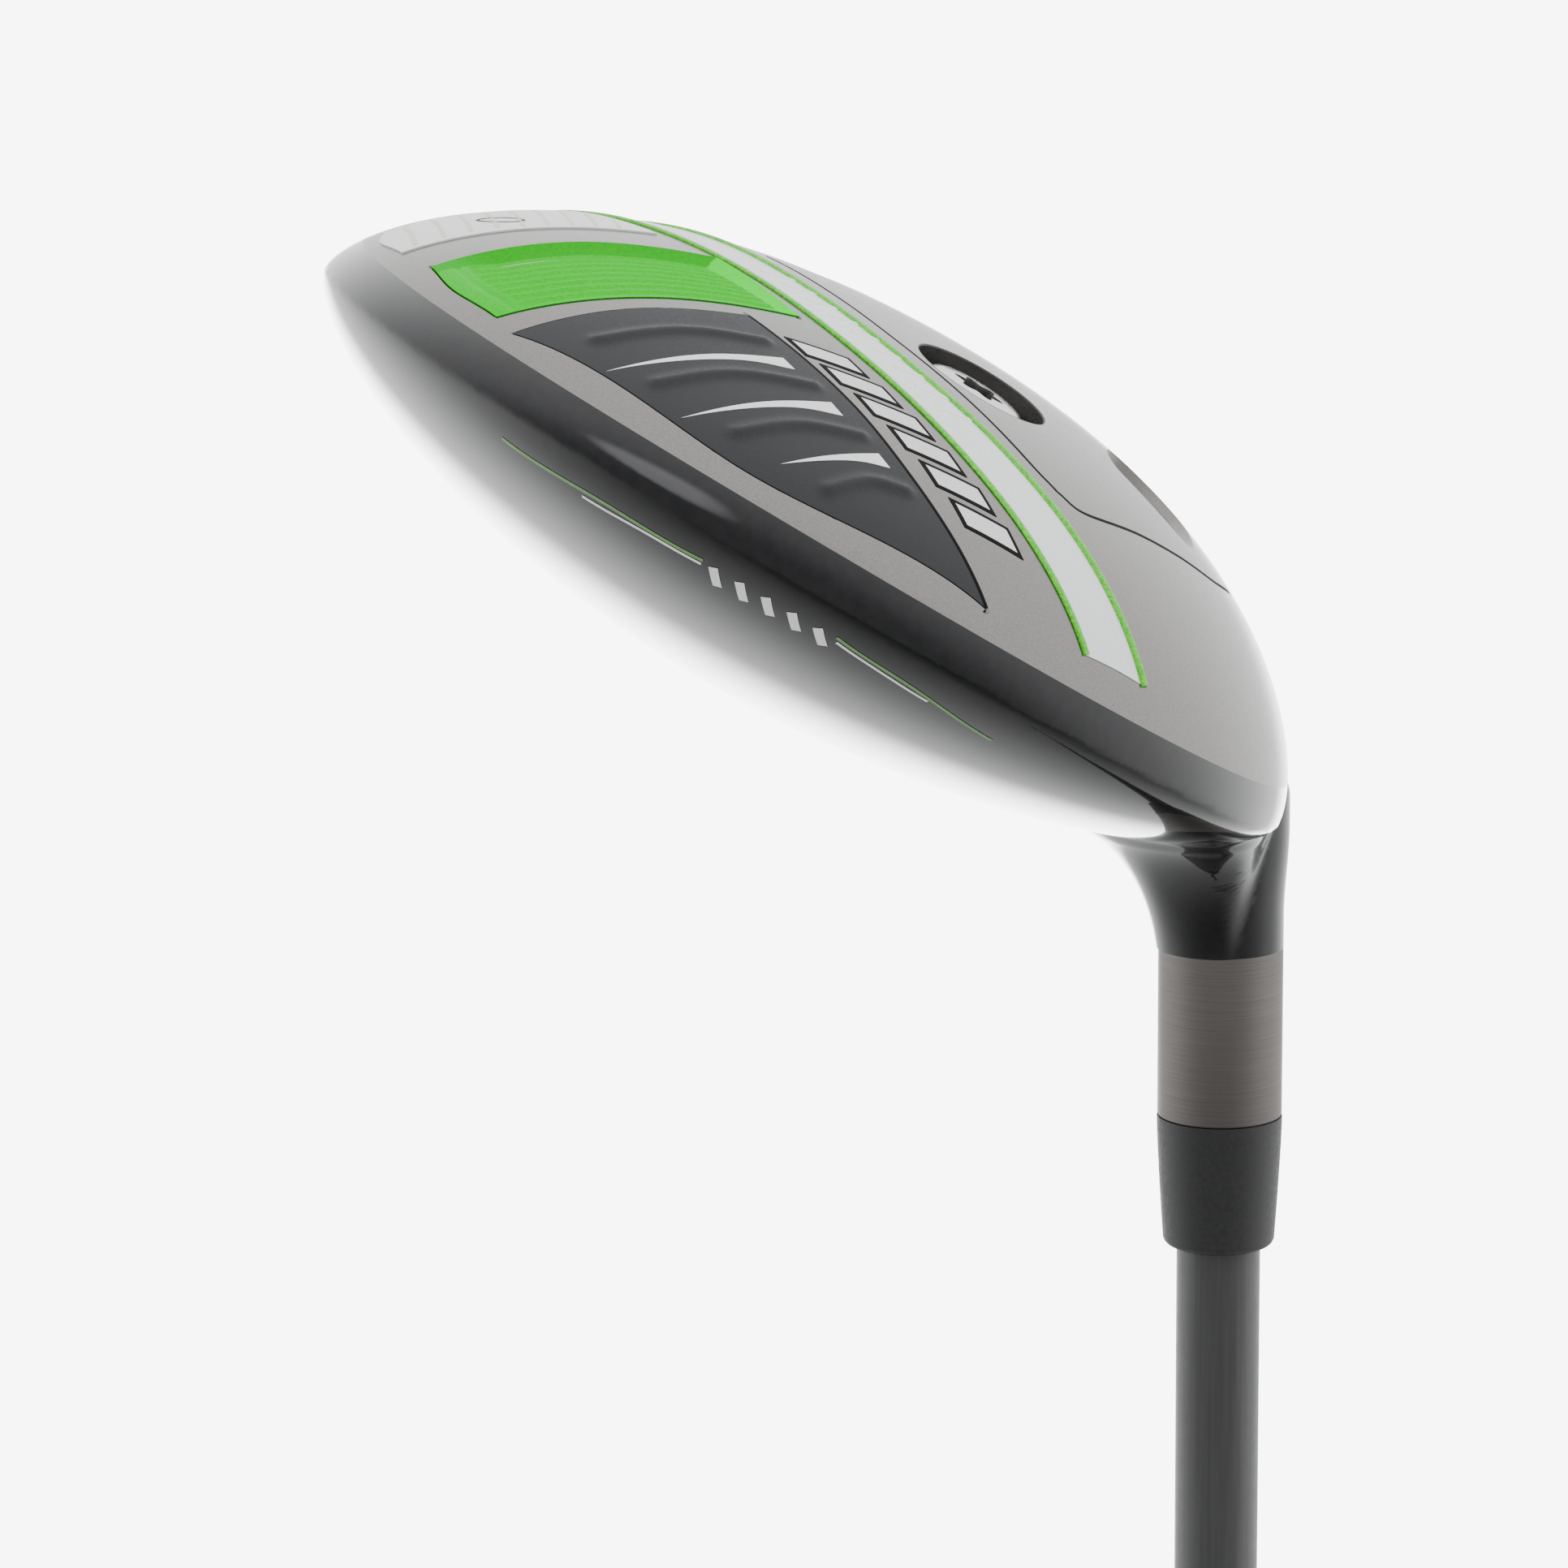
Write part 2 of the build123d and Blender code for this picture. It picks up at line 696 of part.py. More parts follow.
with BuildPart() as grip_cap:
    Cylinder(cap_r, cap_t, align=(Align.CENTER, Align.CENTER, Align.MIN))
    cap_rims = grip_cap.edges().filter_by(GeomType.CIRCLE).group_by(Axis.Z)[0]
    fillet(cap_rims, radius=cap_round)
    Cylinder(vent_r, cap_t, align=(Align.CENTER, Align.CENTER, Align.MIN), mode=Mode.SUBTRACT)
export_piece(grip_cap.part, "grip_cap")
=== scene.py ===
"""Looks of a fairway wood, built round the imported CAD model.

Lengths are in millimetres in the head's own frame (toe, face, crown) until to_row() turns them into metres
in the model's frame. The head's form is a level set: a superellipse dome over a superellipse sole, cut by the
face's bulge sphere and blended into the hosel.
"""

import math

import bmesh
import bpy
import numpy as np
from mathutils import Matrix, Vector
from mathutils.geometry import delaunay_2d_cdt

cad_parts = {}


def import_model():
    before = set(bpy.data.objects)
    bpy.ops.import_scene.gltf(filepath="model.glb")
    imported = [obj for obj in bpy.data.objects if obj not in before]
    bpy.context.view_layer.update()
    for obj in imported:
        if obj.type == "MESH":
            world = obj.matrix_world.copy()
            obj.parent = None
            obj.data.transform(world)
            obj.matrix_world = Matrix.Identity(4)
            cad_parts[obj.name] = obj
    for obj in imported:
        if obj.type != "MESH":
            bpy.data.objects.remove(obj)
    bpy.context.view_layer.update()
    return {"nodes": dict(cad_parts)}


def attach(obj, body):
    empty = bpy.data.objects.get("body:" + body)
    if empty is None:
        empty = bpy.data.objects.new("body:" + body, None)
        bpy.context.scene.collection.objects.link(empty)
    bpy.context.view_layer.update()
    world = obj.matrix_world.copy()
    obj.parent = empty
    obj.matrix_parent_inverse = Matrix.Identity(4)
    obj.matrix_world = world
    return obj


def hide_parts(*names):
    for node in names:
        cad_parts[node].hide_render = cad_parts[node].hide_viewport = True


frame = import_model()

MM = 0.001
CLUB = 1092.2  # from the butt to where the shaft axis meets the ground
LIE = math.radians(58.0)
LOFT = math.radians(16.0)
TOE = np.array([-math.sin(LIE), 0.0, math.cos(LIE)])
FRONT = np.array([0.0, 1.0, 0.0])
CROWN = np.array([-math.cos(LIE), 0.0, -math.sin(LIE)])
AXES = np.array([TOE, FRONT, CROWN])
SHAFT_UP = AXES @ np.array([0.0, 0.0, 1.0])  # the row frame's z and x, seen from the head
HEEL_SIDE = AXES @ np.array([1.0, 0.0, 0.0])

MID = (35.0, -12.3)  # the middle of the head's outline
HALF_TOE, HALF_HEEL, HALF_FRONT, HALF_BACK = 53.8, 53.9, 42.0, 56.0
PLAN_POWER = 2.03
SPAN = 50.0  # the reach over which the slopes below are measured
SKIRT = dict(mid=18.0, toe=1.5, front=5.8, toe2=2.1, front2=0.8)
DOME = dict(rise=19.3, toe=0.9, front=2.4, power=1.9, root=1.48)
BOWL = dict(rise=21.3, toe=-1.5, front=4.9, power=2.44, root=1.56)
PAINT_DROP = 3.8  # how far under the skirt line the black paint ends
FACE_BALL = 290.0
FACE_MID = np.array([31.0, 16.1 - 18.0 * math.tan(LOFT), 18.0])
FACE_NORMAL = np.array([0.0, math.cos(LOFT), math.sin(LOFT)])
FACE_EDGE = 2.0
FACE_RIM = 0.4  # how far back from the face its bare metal ends
FACE_HEEL = -7.0  # how far toward the heel it reaches
SCORES = [-11.25, -6.75, -2.25, 2.25, 6.75, 11.25]  # heights of the score lines up the face
SCORE_WIDTH, SCORE_DEPTH, SCORE_WALL, SCORE_LENGTH = 0.8, 0.3, 0.12, 42.0
HOSEL_R = 6.35
HOSEL_END = -58.8  # heights along the shaft, from the ground point
PAINT_END = -41.3
NECK_TOP, NECK_ROUND = -22.0, 4.0  # the neck's own end, inside the head
FLARE, FLARE_HEIGHTS = 0.5, (-38.0, -29.0)  # how far the neck swells on its heel side, and where
FILLET, WIDE_FILLET, WIDE_HEIGHTS = 0.9, 13.0, (-29.0, -21.0)  # the wide one fades out over these heights
FRONT_CUT = 0.9  # how much of the wide fillet is left out toward the face
AXIS_SOFT = 3.0  # keeps the directions round the shaft axis smooth near it
FERRULE_END = HOSEL_END - 13.5
PORT, PORT_R = np.array([28.6, -19.3]), 7.1
SCREW_TOP = -2.43


# ---- the head as a level set
def to_row(points):
    """Head millimetres to the model's metres."""
    return (np.asarray(points, float) @ AXES + np.array([0, 0, CLUB])) * MM


def skirt_height(a, b):
    da, db = (a - MID[0]) / SPAN, (b - MID[1]) / SPAN
    return (SKIRT["mid"] + SKIRT["toe"] * da + SKIRT["front"] * db
            + SKIRT["toe2"] * da**2 + SKIRT["front2"] * db**2)


def plan_reach(a, b):
    """0 at the head's middle, 1 on its outline."""
    da, db = a - MID[0], b - MID[1]
    half_a = np.where(da > 0, HALF_TOE, HALF_HEEL)
    half_b = np.where(db > 0, HALF_FRONT, HALF_BACK)
    return (np.abs(da / half_a) ** PLAN_POWER + np.abs(db / half_b) ** PLAN_POWER) ** (1 / PLAN_POWER)


def rise_of(form, a, b):
    return form["rise"] + (form["toe"] * (a - MID[0]) + form["front"] * (b - MID[1])) / SPAN


def surface_height(a, b, form):
    """Height of the crown (DOME) or the sole (BOWL) over the plan."""
    reach = np.clip(plan_reach(a, b), 0, 1)
    lift = rise_of(form, a, b) * (1 - reach ** form["power"]) ** (1 / form["root"])
    return skirt_height(a, b) + (lift if form is DOME else -lift)


def step(x, low, high):
    """0 below low, 1 above high, smooth between."""
    t = np.clip((x - low) / (high - low), 0, 1)
    return t * t * (3 - 2 * t)


def head_level(p):
    """Zero on the crown and the sole, below it inside; the plan's power eases across the skirt line."""
    a, b, c = p[:, 0], p[:, 1], p[:, 2]
    over = c - skirt_height(a, b)
    power = BOWL["power"] + (DOME["power"] - BOWL["power"]) * step(over, -1, 1)
    dome = (np.abs(over) / rise_of(DOME, a, b)) ** DOME["root"]
    bowl = (np.abs(over) / rise_of(BOWL, a, b)) ** BOWL["root"]
    return plan_reach(a, b) ** power + np.where(over > 0, dome, bowl) - 1


def gradient(level, p, reach=0.02):
    """The slope of a level function at each point, by central differences."""
    slopes = []
    for axis in range(3):
        shift = np.zeros(3)
        shift[axis] = reach
        slopes.append((level(p + shift) - level(p - shift)) / (2 * reach))
    return np.stack(slopes, -1)


def head_distance(p):
    return head_level(p) / np.maximum(np.linalg.norm(gradient(head_level, p), axis=1), 1e-4)


def face_distance(p):
    """Distance in front of the face's bulge sphere."""
    centre = FACE_MID - FACE_BALL * FACE_NORMAL
    return np.linalg.norm(p - centre, axis=1) - FACE_BALL


def along_shaft(p):
    return p @ SHAFT_UP


def joined(one, other, blend):
    """Two signed distances as one, with a fillet of radius blend where they meet."""
    near = np.hypot(np.maximum(blend - one, 0), np.maximum(blend - other, 0))
    return np.maximum(blend, np.minimum(one, other)) - near


def field(p):
    """Signed distance, near enough, of the whole painted head with its neck."""
    dome, face = head_distance(p), face_distance(p)
    hard = np.minimum(-FACE_EDGE, np.maximum(dome, face))
    body = hard + np.hypot(np.maximum(FACE_EDGE + dome, 0), np.maximum(FACE_EDGE + face, 0))
    x, y, z = p @ HEEL_SIDE, p[:, 1], along_shaft(p)
    radial = np.hypot(x, y)
    soft_radial = np.hypot(radial, AXIS_SOFT)
    heelward = 1.1 * x / soft_radial
    flare = FLARE * step(z, *FLARE_HEIGHTS) * np.clip(heelward, 0, 1)
    side, end = radial - HOSEL_R - flare + NECK_ROUND, z - NECK_TOP + NECK_ROUND
    neck = (np.hypot(np.maximum(side, 0), np.maximum(end, 0))
            + np.minimum(np.maximum(side, end), 0) - NECK_ROUND)
    behind = 1 - FRONT_CUT * step(y / soft_radial, -0.1, 0.7)
    blend = FILLET + WIDE_FILLET * step(1 - heelward, 0, 1) * behind * (1 - step(z, *WIDE_HEIGHTS))
    return joined(body, neck, blend)


def settle(p, rounds=4):
    """Moves points onto the surface."""
    for _ in range(rounds):
        slope = gradient(field, p)
        size = np.maximum((slope**2).sum(1), 1e-3)
        p = p - np.clip(field(p), -2.0, 2.0)[:, None] * slope / size[:, None]
    return p


def normals_at(p):
    slope = gradient(field, p, 0.05)
    return slope / np.linalg.norm(slope, axis=1)[:, None]


# ---- plan distances
def curve(points, spacing=0.4, closed=False):
    """A smooth curve through points (Catmull-Rom), as plan points about the spacing apart."""
    pts = [np.array(q, float) for q in points]
    if closed:
        ring = [pts[-1], *pts, pts[0], pts[1]]
    else:
        ring = [2 * pts[0] - pts[1], *pts, 2 * pts[-1] - pts[-2]]
    out = []
    for k in range(1, len(ring) - 2):
        p0, p1, p2, p3 = ring[k - 1 : k + 3]
        count = max(2, int(np.linalg.norm(p2 - p1) / spacing))
        for t in np.arange(count) / count:
            near = 2 * p1 + (p2 - p0) * t
            far = (2 * p0 - 5 * p1 + 4 * p2 - p3) * t**2 + (3 * p1 - p0 - 3 * p2 + p3) * t**3
            out.append((near + far) / 2)
    if not closed:
        out.append(pts[-1])
    return np.array(out)


def chain(runs, spacing=0.4):
    """A closed outline from runs of points; each run is a straight or smooth side."""
    return np.concatenate([curve(run, spacing)[:-1] for run in runs])


def path_distance(p, path, closed=True):
    """Plan distance from points to a path; negative inside when it is closed."""
    p = np.array(p[:, :2])
    best = np.full(len(p), 1e9)
    inside = np.zeros(len(p), bool)
    ends = np.roll(path, -1, 0) if closed else path[1:]
    for q0, q1 in zip(path, ends):
        run = q1 - q0
        t = np.clip(((p - q0) @ run) / max(run @ run, 1e-9), 0, 1)
        best = np.minimum(best, np.linalg.norm(p - q0 - t[:, None] * run, axis=1))
        crosses = (q0[1] > p[:, 1]) != (q1[1] > p[:, 1])
        if closed and abs(run[1]) > 1e-12:
            inside ^= crosses & (p[:, 0] < q0[0] + run[0] * (p[:, 1] - q0[1]) / run[1])
    return np.where(inside, -best, best)


# ---- mesh helpers
SHARP_FROM = math.radians(32)


def linked(name, data):
    piece = bpy.data.objects.new(name, data)
    bpy.context.scene.collection.objects.link(piece)
    return piece


def ring_faces(pairs, segments, start=0):
    """Quads between rings of points; pairs says which ring joins which, counted from the start."""
    faces = []
    for k, n in pairs:
        near, far = start + k * segments, start + n * segments
        for s in range(segments):
            t = (s + 1) % segments
            faces.append([near + s, near + t, far + t, far + s])
    return faces


def make_object(name, verts, faces, materials, body="club", replaces=(), face_materials=None):
    """A mesh object from metres in the model's frame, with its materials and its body."""
    mesh = bpy.data.meshes.new(name)
    mesh.from_pydata([tuple(v) for v in verts], [], [tuple(int(i) for i in f) for f in faces])
    mesh.validate()
    for material in materials:
        mesh.materials.append(material)
    if face_materials is not None:
        mesh.polygons.foreach_set("material_index", np.asarray(face_materials, np.int32))
    mesh.polygons.foreach_set("use_smooth", [True] * len(mesh.polygons))
    mesh.set_sharp_from_angle(angle=SHARP_FROM)
    piece = linked(name, mesh)
    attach(piece, body)
    if replaces:
        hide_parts(*replaces)
    return piece


def lathe(name, profile, material, replaces=(), segments=128, ripple=None):
    """A turned piece: profile is (radius, height) in millimetres round the shaft axis, closed into a ring."""
    turns = np.arange(segments) * 2 * math.pi / segments
    verts = []
    for r, z in np.array(profile, float):
        for turn in turns:
            reach = r if ripple is None else r + ripple(turn, r, z)
            verts.append((reach * math.cos(turn) * MM, reach * math.sin(turn) * MM, z * MM))
    rows = len(profile)
    faces = ring_faces([(k, (k + 1) % rows) for k in range(rows)], segments)
    make_object(name, verts, faces, [material], replaces=replaces)


def remeshed(verts, faces, voxel):
    """An even quad mesh of the outside of a rough closed shape."""
    mesh = bpy.data.meshes.new("rough")
    mesh.from_pydata([tuple(v) for v in verts], [], faces)
    rough = linked("rough", mesh)
    modifier = rough.modifiers.new("voxels", "REMESH")
    modifier.mode = "VOXEL"
    modifier.voxel_size = voxel
    seen = rough.evaluated_get(bpy.context.evaluated_depsgraph_get())
    even = bpy.data.meshes.new_from_object(seen)
    points = np.array([v.co for v in even.vertices], float)
    quads = [list(f.vertices) for f in even.polygons]
    bpy.data.objects.remove(rough)
    return points, quads


def split_along(bm, measure):
    """Cuts the mesh along the line where measure is zero, so that a paint edge or a step is crisp."""
    values = measure(np.array([v.co for v in bm.verts], float))
    values[np.abs(values) < 1e-3] = 1e-3
    bm.verts.index_update()
    crossing = [e for e in bm.edges if values[e.verts[0].index] * values[e.verts[1].index] < 0]
    fresh = set()
    for edge in crossing:
        one, other = edge.verts
        share = values[one.index] / (values[one.index] - values[other.index])
        _, vert = bmesh.utils.edge_split(edge, one, min(max(share, 0.02), 0.98))
        fresh.add(vert)
    for face in {f for v in fresh for f in v.link_faces}:
        cuts = [v for v in face.verts if v in fresh]
        if len(cuts) == 4 or len(cuts) == 2 and not bm.edges.get(cuts):
            bmesh.utils.face_split(face, cuts[0], cuts[1])


# ---- materials
def map_range(nodes, links, value, start, end, low, high, kind="LINEAR"):
    """The value carried from start..end to low..high."""
    node = nodes.new("ShaderNodeMapRange")
    node.interpolation_type = kind
    for socket, number in zip(("From Min", "From Max", "To Min", "To Max"), (start, end, low, high)):
        node.inputs[socket].default_value = number
    links.new(value, node.inputs["Value"])
    return node.outputs["Result"]


class Look:
    """A node material under construction: a Principled shader and the nodes that feed it."""

    def __init__(self, name, base, rough, metallic=0.0, **sockets):
        self.material = bpy.data.materials.new(name)
        self.material.use_nodes = True
        self.nodes = self.material.node_tree.nodes
        self.links = self.material.node_tree.links
        self.shader = self.nodes["Principled BSDF"]
        self.shader.inputs["Base Color"].default_value = (*base, 1)
        self.shader.inputs["Roughness"].default_value = rough
        self.shader.inputs["Metallic"].default_value = metallic
        for socket, value in sockets.items():
            self.shader.inputs[socket.replace("_", " ")].default_value = value
        self.place = self.nodes.new("ShaderNodeTexCoord").outputs["Object"]

    def texture(self, kind, vector=None, **values):
        node = self.nodes.new(kind)
        for socket, value in values.items():
            node.inputs[socket].default_value = value
        self.links.new(vector or self.place, node.inputs["Vector"])
        return node.outputs

    def stretched(self, scale, turn=(0, 0, 0)):
        return self.texture("ShaderNodeMapping", Scale=scale, Rotation=turn)["Vector"]

    def noise(self, scale, detail=3.0, vector=None):
        return self.texture("ShaderNodeTexNoise", vector, Scale=scale, Detail=detail)["Fac"]

    def flakes(self, scale):
        return self.texture("ShaderNodeTexVoronoi", Scale=scale)["Color"]

    def tint(self, value, dark, light, start=0.35, end=0.65):
        node = self.nodes.new("ShaderNodeValToRGB")
        for element, place, colour in zip(node.color_ramp.elements, (start, end), (dark, light)):
            element.position, element.color = place, (*colour, 1)
        self.links.new(value, node.inputs["Fac"])
        self.links.new(node.outputs["Color"], self.shader.inputs["Base Color"])
        return self

    def roughen(self, value, low, high):
        ranged = map_range(self.nodes, self.links, value, 0.3, 0.7, low, high)
        self.links.new(ranged, self.shader.inputs["Roughness"])
        return self

    def bump(self, height, depth, strength=1.0):
        node = self.nodes.new("ShaderNodeBump")
        node.inputs["Distance"].default_value = depth * MM
        node.inputs["Strength"].default_value = strength
        self.links.new(height, node.inputs["Height"])
        self.links.new(node.outputs["Normal"], self.shader.inputs["Normal"])
        return self


HEAD_TURN = (0, LIE - math.pi / 2, 0)  # lines a texture up with the head
GREEN_SHEEN = (0.12, 1.0, 0.08, 1.0)


def paint_look():
    look = Look("black_gloss_paint", (0.006, 0.006, 0.007), 0.16, IOR=1.2, Coat_Weight=1.0, Coat_IOR=1.34,
                Coat_Roughness=0.02)
    look.tint(look.noise(900), (0.005, 0.005, 0.006), (0.009, 0.009, 0.010))
    return look.roughen(look.noise(250), 0.08, 0.12).material


def sole_look():
    look = Look("gunmetal_sole", (0.20, 0.19, 0.18), 0.24, 1.0, Coat_Weight=0.3, Coat_Roughness=0.06)
    fine = look.noise(5200, 2)
    look.tint(fine, (0.178, 0.170, 0.160), (0.214, 0.204, 0.192))
    look.roughen(look.noise(1400, 4), 0.21, 0.27)
    return look.bump(fine, 0.0012, 0.4).material


def face_look():
    look = Look("brushed_face", (0.42, 0.415, 0.41), 0.3, 1.0, Anisotropic=0.4)
    strokes = look.noise(1, 4, look.stretched((160, 160, 6500), HEAD_TURN))
    look.tint(strokes, (0.34, 0.336, 0.33), (0.50, 0.495, 0.485))
    return look.bump(strokes, 0.004, 0.6).material


def band_look():
    look = Look("turned_steel", (0.16, 0.148, 0.138), 0.42, 1.0, Anisotropic=0.5)
    rings = look.noise(1, 3, look.stretched((120, 120, 9000)))
    look.tint(rings, (0.145, 0.134, 0.125), (0.168, 0.156, 0.146))
    return look.bump(rings, 0.002, 0.25).material


def steel_look():
    look = Look("machined_steel", (0.45, 0.45, 0.45), 0.28, 1.0)
    rings = look.noise(2600, 3)
    look.tint(rings, (0.38, 0.38, 0.38), (0.52, 0.52, 0.52))
    return look.bump(rings, 0.002, 0.4).material


def screw_look():
    look = Look("bright_screw", (0.72, 0.72, 0.71), 0.2, 1.0)
    grain = look.noise(3000, 3)
    look.tint(grain, (0.64, 0.64, 0.63), (0.78, 0.78, 0.77))
    return look.roughen(grain, 0.16, 0.26).material


def plastic_look(name, dark, light, rough, scale=1800, depth=0.01, **sockets):
    look = Look(name, light, rough, **sockets)
    grain = look.noise(scale, 4)
    look.tint(grain, dark, light)
    look.roughen(grain, rough - 0.06, rough + 0.06)
    return look.bump(grain, depth, 0.6).material


def graphite_look():
    look = Look("satin_graphite", (0.04, 0.04, 0.041), 0.42, 0.0, Coat_Weight=0.2, Coat_Roughness=0.3)
    fibre = look.noise(1, 3, look.stretched((2600, 2600, 60)))
    look.tint(fibre, (0.034, 0.034, 0.035), (0.046, 0.046, 0.048))
    return look.roughen(look.noise(700), 0.34, 0.42).material


def green_look(name, dark, light, rough=0.34, metallic=0.6):
    look = Look(name, light, rough, metallic, IOR=1.2, Specular_Tint=GREEN_SHEEN)
    return look.tint(look.noise(3200), dark, light).material


def glitter_look():
    look = Look("green_glitter", (0.08, 0.52, 0.007), 0.32, 0.4)
    look.tint(look.flakes(5200), (0.03, 0.40, 0.003), (0.12, 0.62, 0.010), 0.2, 0.8)
    return look.bump(look.flakes(5200), 0.02, 0.4).material


def silver_look(name, dark, light, rough, metallic):
    look = Look(name, light, rough, metallic, Coat_Weight=0.4, Coat_Roughness=0.08)
    grain = look.noise(4200, 3)
    look.tint(grain, dark, light)
    return look.roughen(grain, rough - 0.05, rough + 0.05).material


def rubber_look():
    look = Look("grip_rubber", (0.018, 0.018, 0.019), 0.72)
    grain = look.noise(3600, 5)
    look.tint(grain, (0.013, 0.013, 0.014), (0.026, 0.026, 0.027))
    return look.bump(grain, 0.05, 0.7).material


def looks():
    return dict(
        paint=paint_look(),
        sole=sole_look(),
        face=face_look(),
        band=band_look(),
        steel=steel_look(),
        screw=screw_look(),
        graphite=graphite_look(),
        green=green_look("green_anodised", (0.014, 0.46, 0.008), (0.026, 0.55, 0.016), 0.32, 0.5),
        # lighter and darker copies of the badge's green: a painted highlight for its inner end wall, painted
        # shade for its side wall
        facet=green_look("green_facet_painted_highlight", (0.010, 0.70, 0.004), (0.016, 0.80, 0.006)),
        shade=green_look("green_wall_painted_shade", (0.006, 0.33, 0.003), (0.010, 0.40, 0.005)),
        glitter=glitter_look(),
        rubber=rubber_look(),
        pearl=silver_look("pearl_white", (0.80, 0.82, 0.83), (0.86, 0.88, 0.89), 0.3, 0.1),
        silver=silver_look("emblem_silver", (0.68, 0.68, 0.685), (0.74, 0.74, 0.745), 0.32, 0.4),
        ferrule=plastic_look("ferrule_black", (0.012, 0.012, 0.012), (0.02, 0.02, 0.021), 0.5),
        panel=plastic_look("matt_black_panel", (0.015, 0.016, 0.017), (0.022, 0.023, 0.024), 0.5, 2600, 0.01,
                           IOR=1.33),
        ink=plastic_look("white_ink", (0.90, 0.90, 0.90), (0.95, 0.95, 0.95), 0.45),
        # black ink for the emblem's printed outlines, and also painted shade for the panel's gap and the
        # plateau's edge
        outline=plastic_look("black_ink_and_painted_shade", (0.004, 0.004, 0.004), (0.007, 0.007, 0.007), 0.6, IOR=1.15),
        # painted shade: a near-black finish for the port's wall, the model's weight port and the screw's
        # socket
        recess=plastic_look("recess_painted_shade", (0.018, 0.017, 0.015), (0.03, 0.028, 0.025), 0.45),
        washer=plastic_look("washer_nylon", (0.02, 0.02, 0.02), (0.035, 0.035, 0.035), 0.45),
        paper=plastic_look("label_paper", (0.88, 0.89, 0.86), (0.94, 0.95, 0.92), 0.5),
        hatch=plastic_look("label_green", (0.66, 0.76, 0.56), (0.74, 0.83, 0.64), 0.5),
        decal=plastic_look("green_ink", (0.10, 0.28, 0.06), (0.14, 0.36, 0.08), 0.35),
        glue=plastic_look("cured_adhesive", (0.30, 0.27, 0.20), (0.40, 0.36, 0.28), 0.4),
        rubbery=plastic_look("hot_melt", (0.45, 0.42, 0.34), (0.55, 0.51, 0.42), 0.6),
        brass=plastic_look("brass_grain", (0.42, 0.30, 0.10), (0.56, 0.42, 0.16), 0.35),
        cork=plastic_look("cork", (0.30, 0.18, 0.09), (0.48, 0.31, 0.17), 0.8, 900, 0.2),
        tape=plastic_look("paper_tape", (0.55, 0.47, 0.33), (0.66, 0.58, 0.43), 0.7),
    )


# ---- head shell
# Outlines on the sole, in plan: each is a list of sides, or one smooth line.
BADGE = [
    [(78, -38), (68, -28), (56.5, -20.5)],
    [(56.5, -20.5), (46.5, -31.2)],
    [(46.5, -31.2), (58, -39.6), (69.5, -49.5)],
    [(69.5, -49.5), (74.6, -44), (78, -38)],
]
PANEL = [
    [(67.3, -52.1), (59.2, -43.6), (50.5, -36.8)],
    [(50.5, -36.8), (38, -46), (29, -53), (17.6, -60.4)],
    [(17.6, -60.4), (42.5, -62.9), (67.3, -52.1)],
]
STRIPE_INNER = [(75, -2), (64, -12.8), (52, -23.5), (41, -33), (28.5, -42), (18, -48.4), (7.5, -54.5)]
STRIPE_OUTER = [(67.5, 1), (57, -9), (45.5, -20), (35, -29), (23.5, -36.5), (12.5, -42.8), (1.2, -49.6)]
LABEL = [
    [(85, -20), (84.3, -26), (81.5, -32.4)],
    [(81.5, -32.4), (71.6, -23.6), (62.8, -16.8)],
    [(62.8, -16.8), (71, -8.4)],
    [(71, -8.4), (78.6, -14), (85, -20)],
]
PLATEAU = [(53, -8), (44, -16.6), (36, -23.9), (22, -34.2), (17.3, -36.6)]
PLATEAU_END = [(17.3, -36.6), (14, -36.2), (8.6, -29.6), (4.3, -24.3), (-0.2, -18), (-2.6, -12)]
TOE_WINDOW = [(50, -4.6), (44.5, -1.6), (46.5, 3.2), (56, 3.2)]
HEEL_WINDOW = [(13.2, -14.2), (3.2, -16.4), (5.6, -6), (14.2, -4.2)]
POCKET, STRIPE_SEAT, WINDOW_DEPTH = 1.3, 0.3, 0.9
VOXEL = 0.62  # the head mesh's spacing
ROUND = 96  # points round the head's rough rings and the port


def rough_head():
    """Overlapping closed shapes near the head and its neck, to be remeshed as one."""
    verts, faces = [], []
    turns = np.arange(ROUND) * 2 * math.pi / ROUND
    reaches = np.sin(np.linspace(0, math.pi / 2, 26))
    for form in (DOME, BOWL):
        start = len(verts)
        for reach in reaches:
            for turn in turns:
                ca, cb = math.cos(turn), math.sin(turn)
                size = (abs(ca) ** PLAN_POWER + abs(cb) ** PLAN_POWER) ** (-1 / PLAN_POWER)
                a = MID[0] + (HALF_TOE if ca > 0 else HALF_HEEL) * reach * size * ca
                b = MID[1] + (HALF_FRONT if cb > 0 else HALF_BACK) * reach * size * cb
                p = np.array([a, b, float(surface_height(a, b, form))])
                over = float(face_distance(p[None])[0])
                verts.append(p - max(over, 0) * FACE_NORMAL)
        quads = ring_faces([(k, k + 1) for k in range(len(reaches) - 1)], ROUND, start)
        faces += quads if form is DOME else [quad[::-1] for quad in quads]
    start = len(verts)
    for z in (HOSEL_END - 6, -10):
        for turn in turns:
            x, y = HOSEL_R * math.cos(turn), HOSEL_R * math.sin(turn)
            verts.append(x * HEEL_SIDE + y * FRONT + z * SHAFT_UP)
    faces += ring_faces([(0, 1)], ROUND, start)
    faces.append([start + s for s in range(ROUND)][::-1])
    faces.append([start + ROUND + s for s in range(ROUND)])
    return verts, faces


def on_sole(points, values):
    """Keeps a plan measure to the sole, so that the crown above it isn't cut too."""
    under = points[:, 2] < skirt_height(points[:, 0], points[:, 1]) - 1.5
    return np.where(under, values, 9.0)


def face_rise(p):
    """Height up the face from its middle, along its slope."""
    return (p - FACE_MID) @ np.array([0.0, -math.sin(LOFT), math.cos(LOFT)])


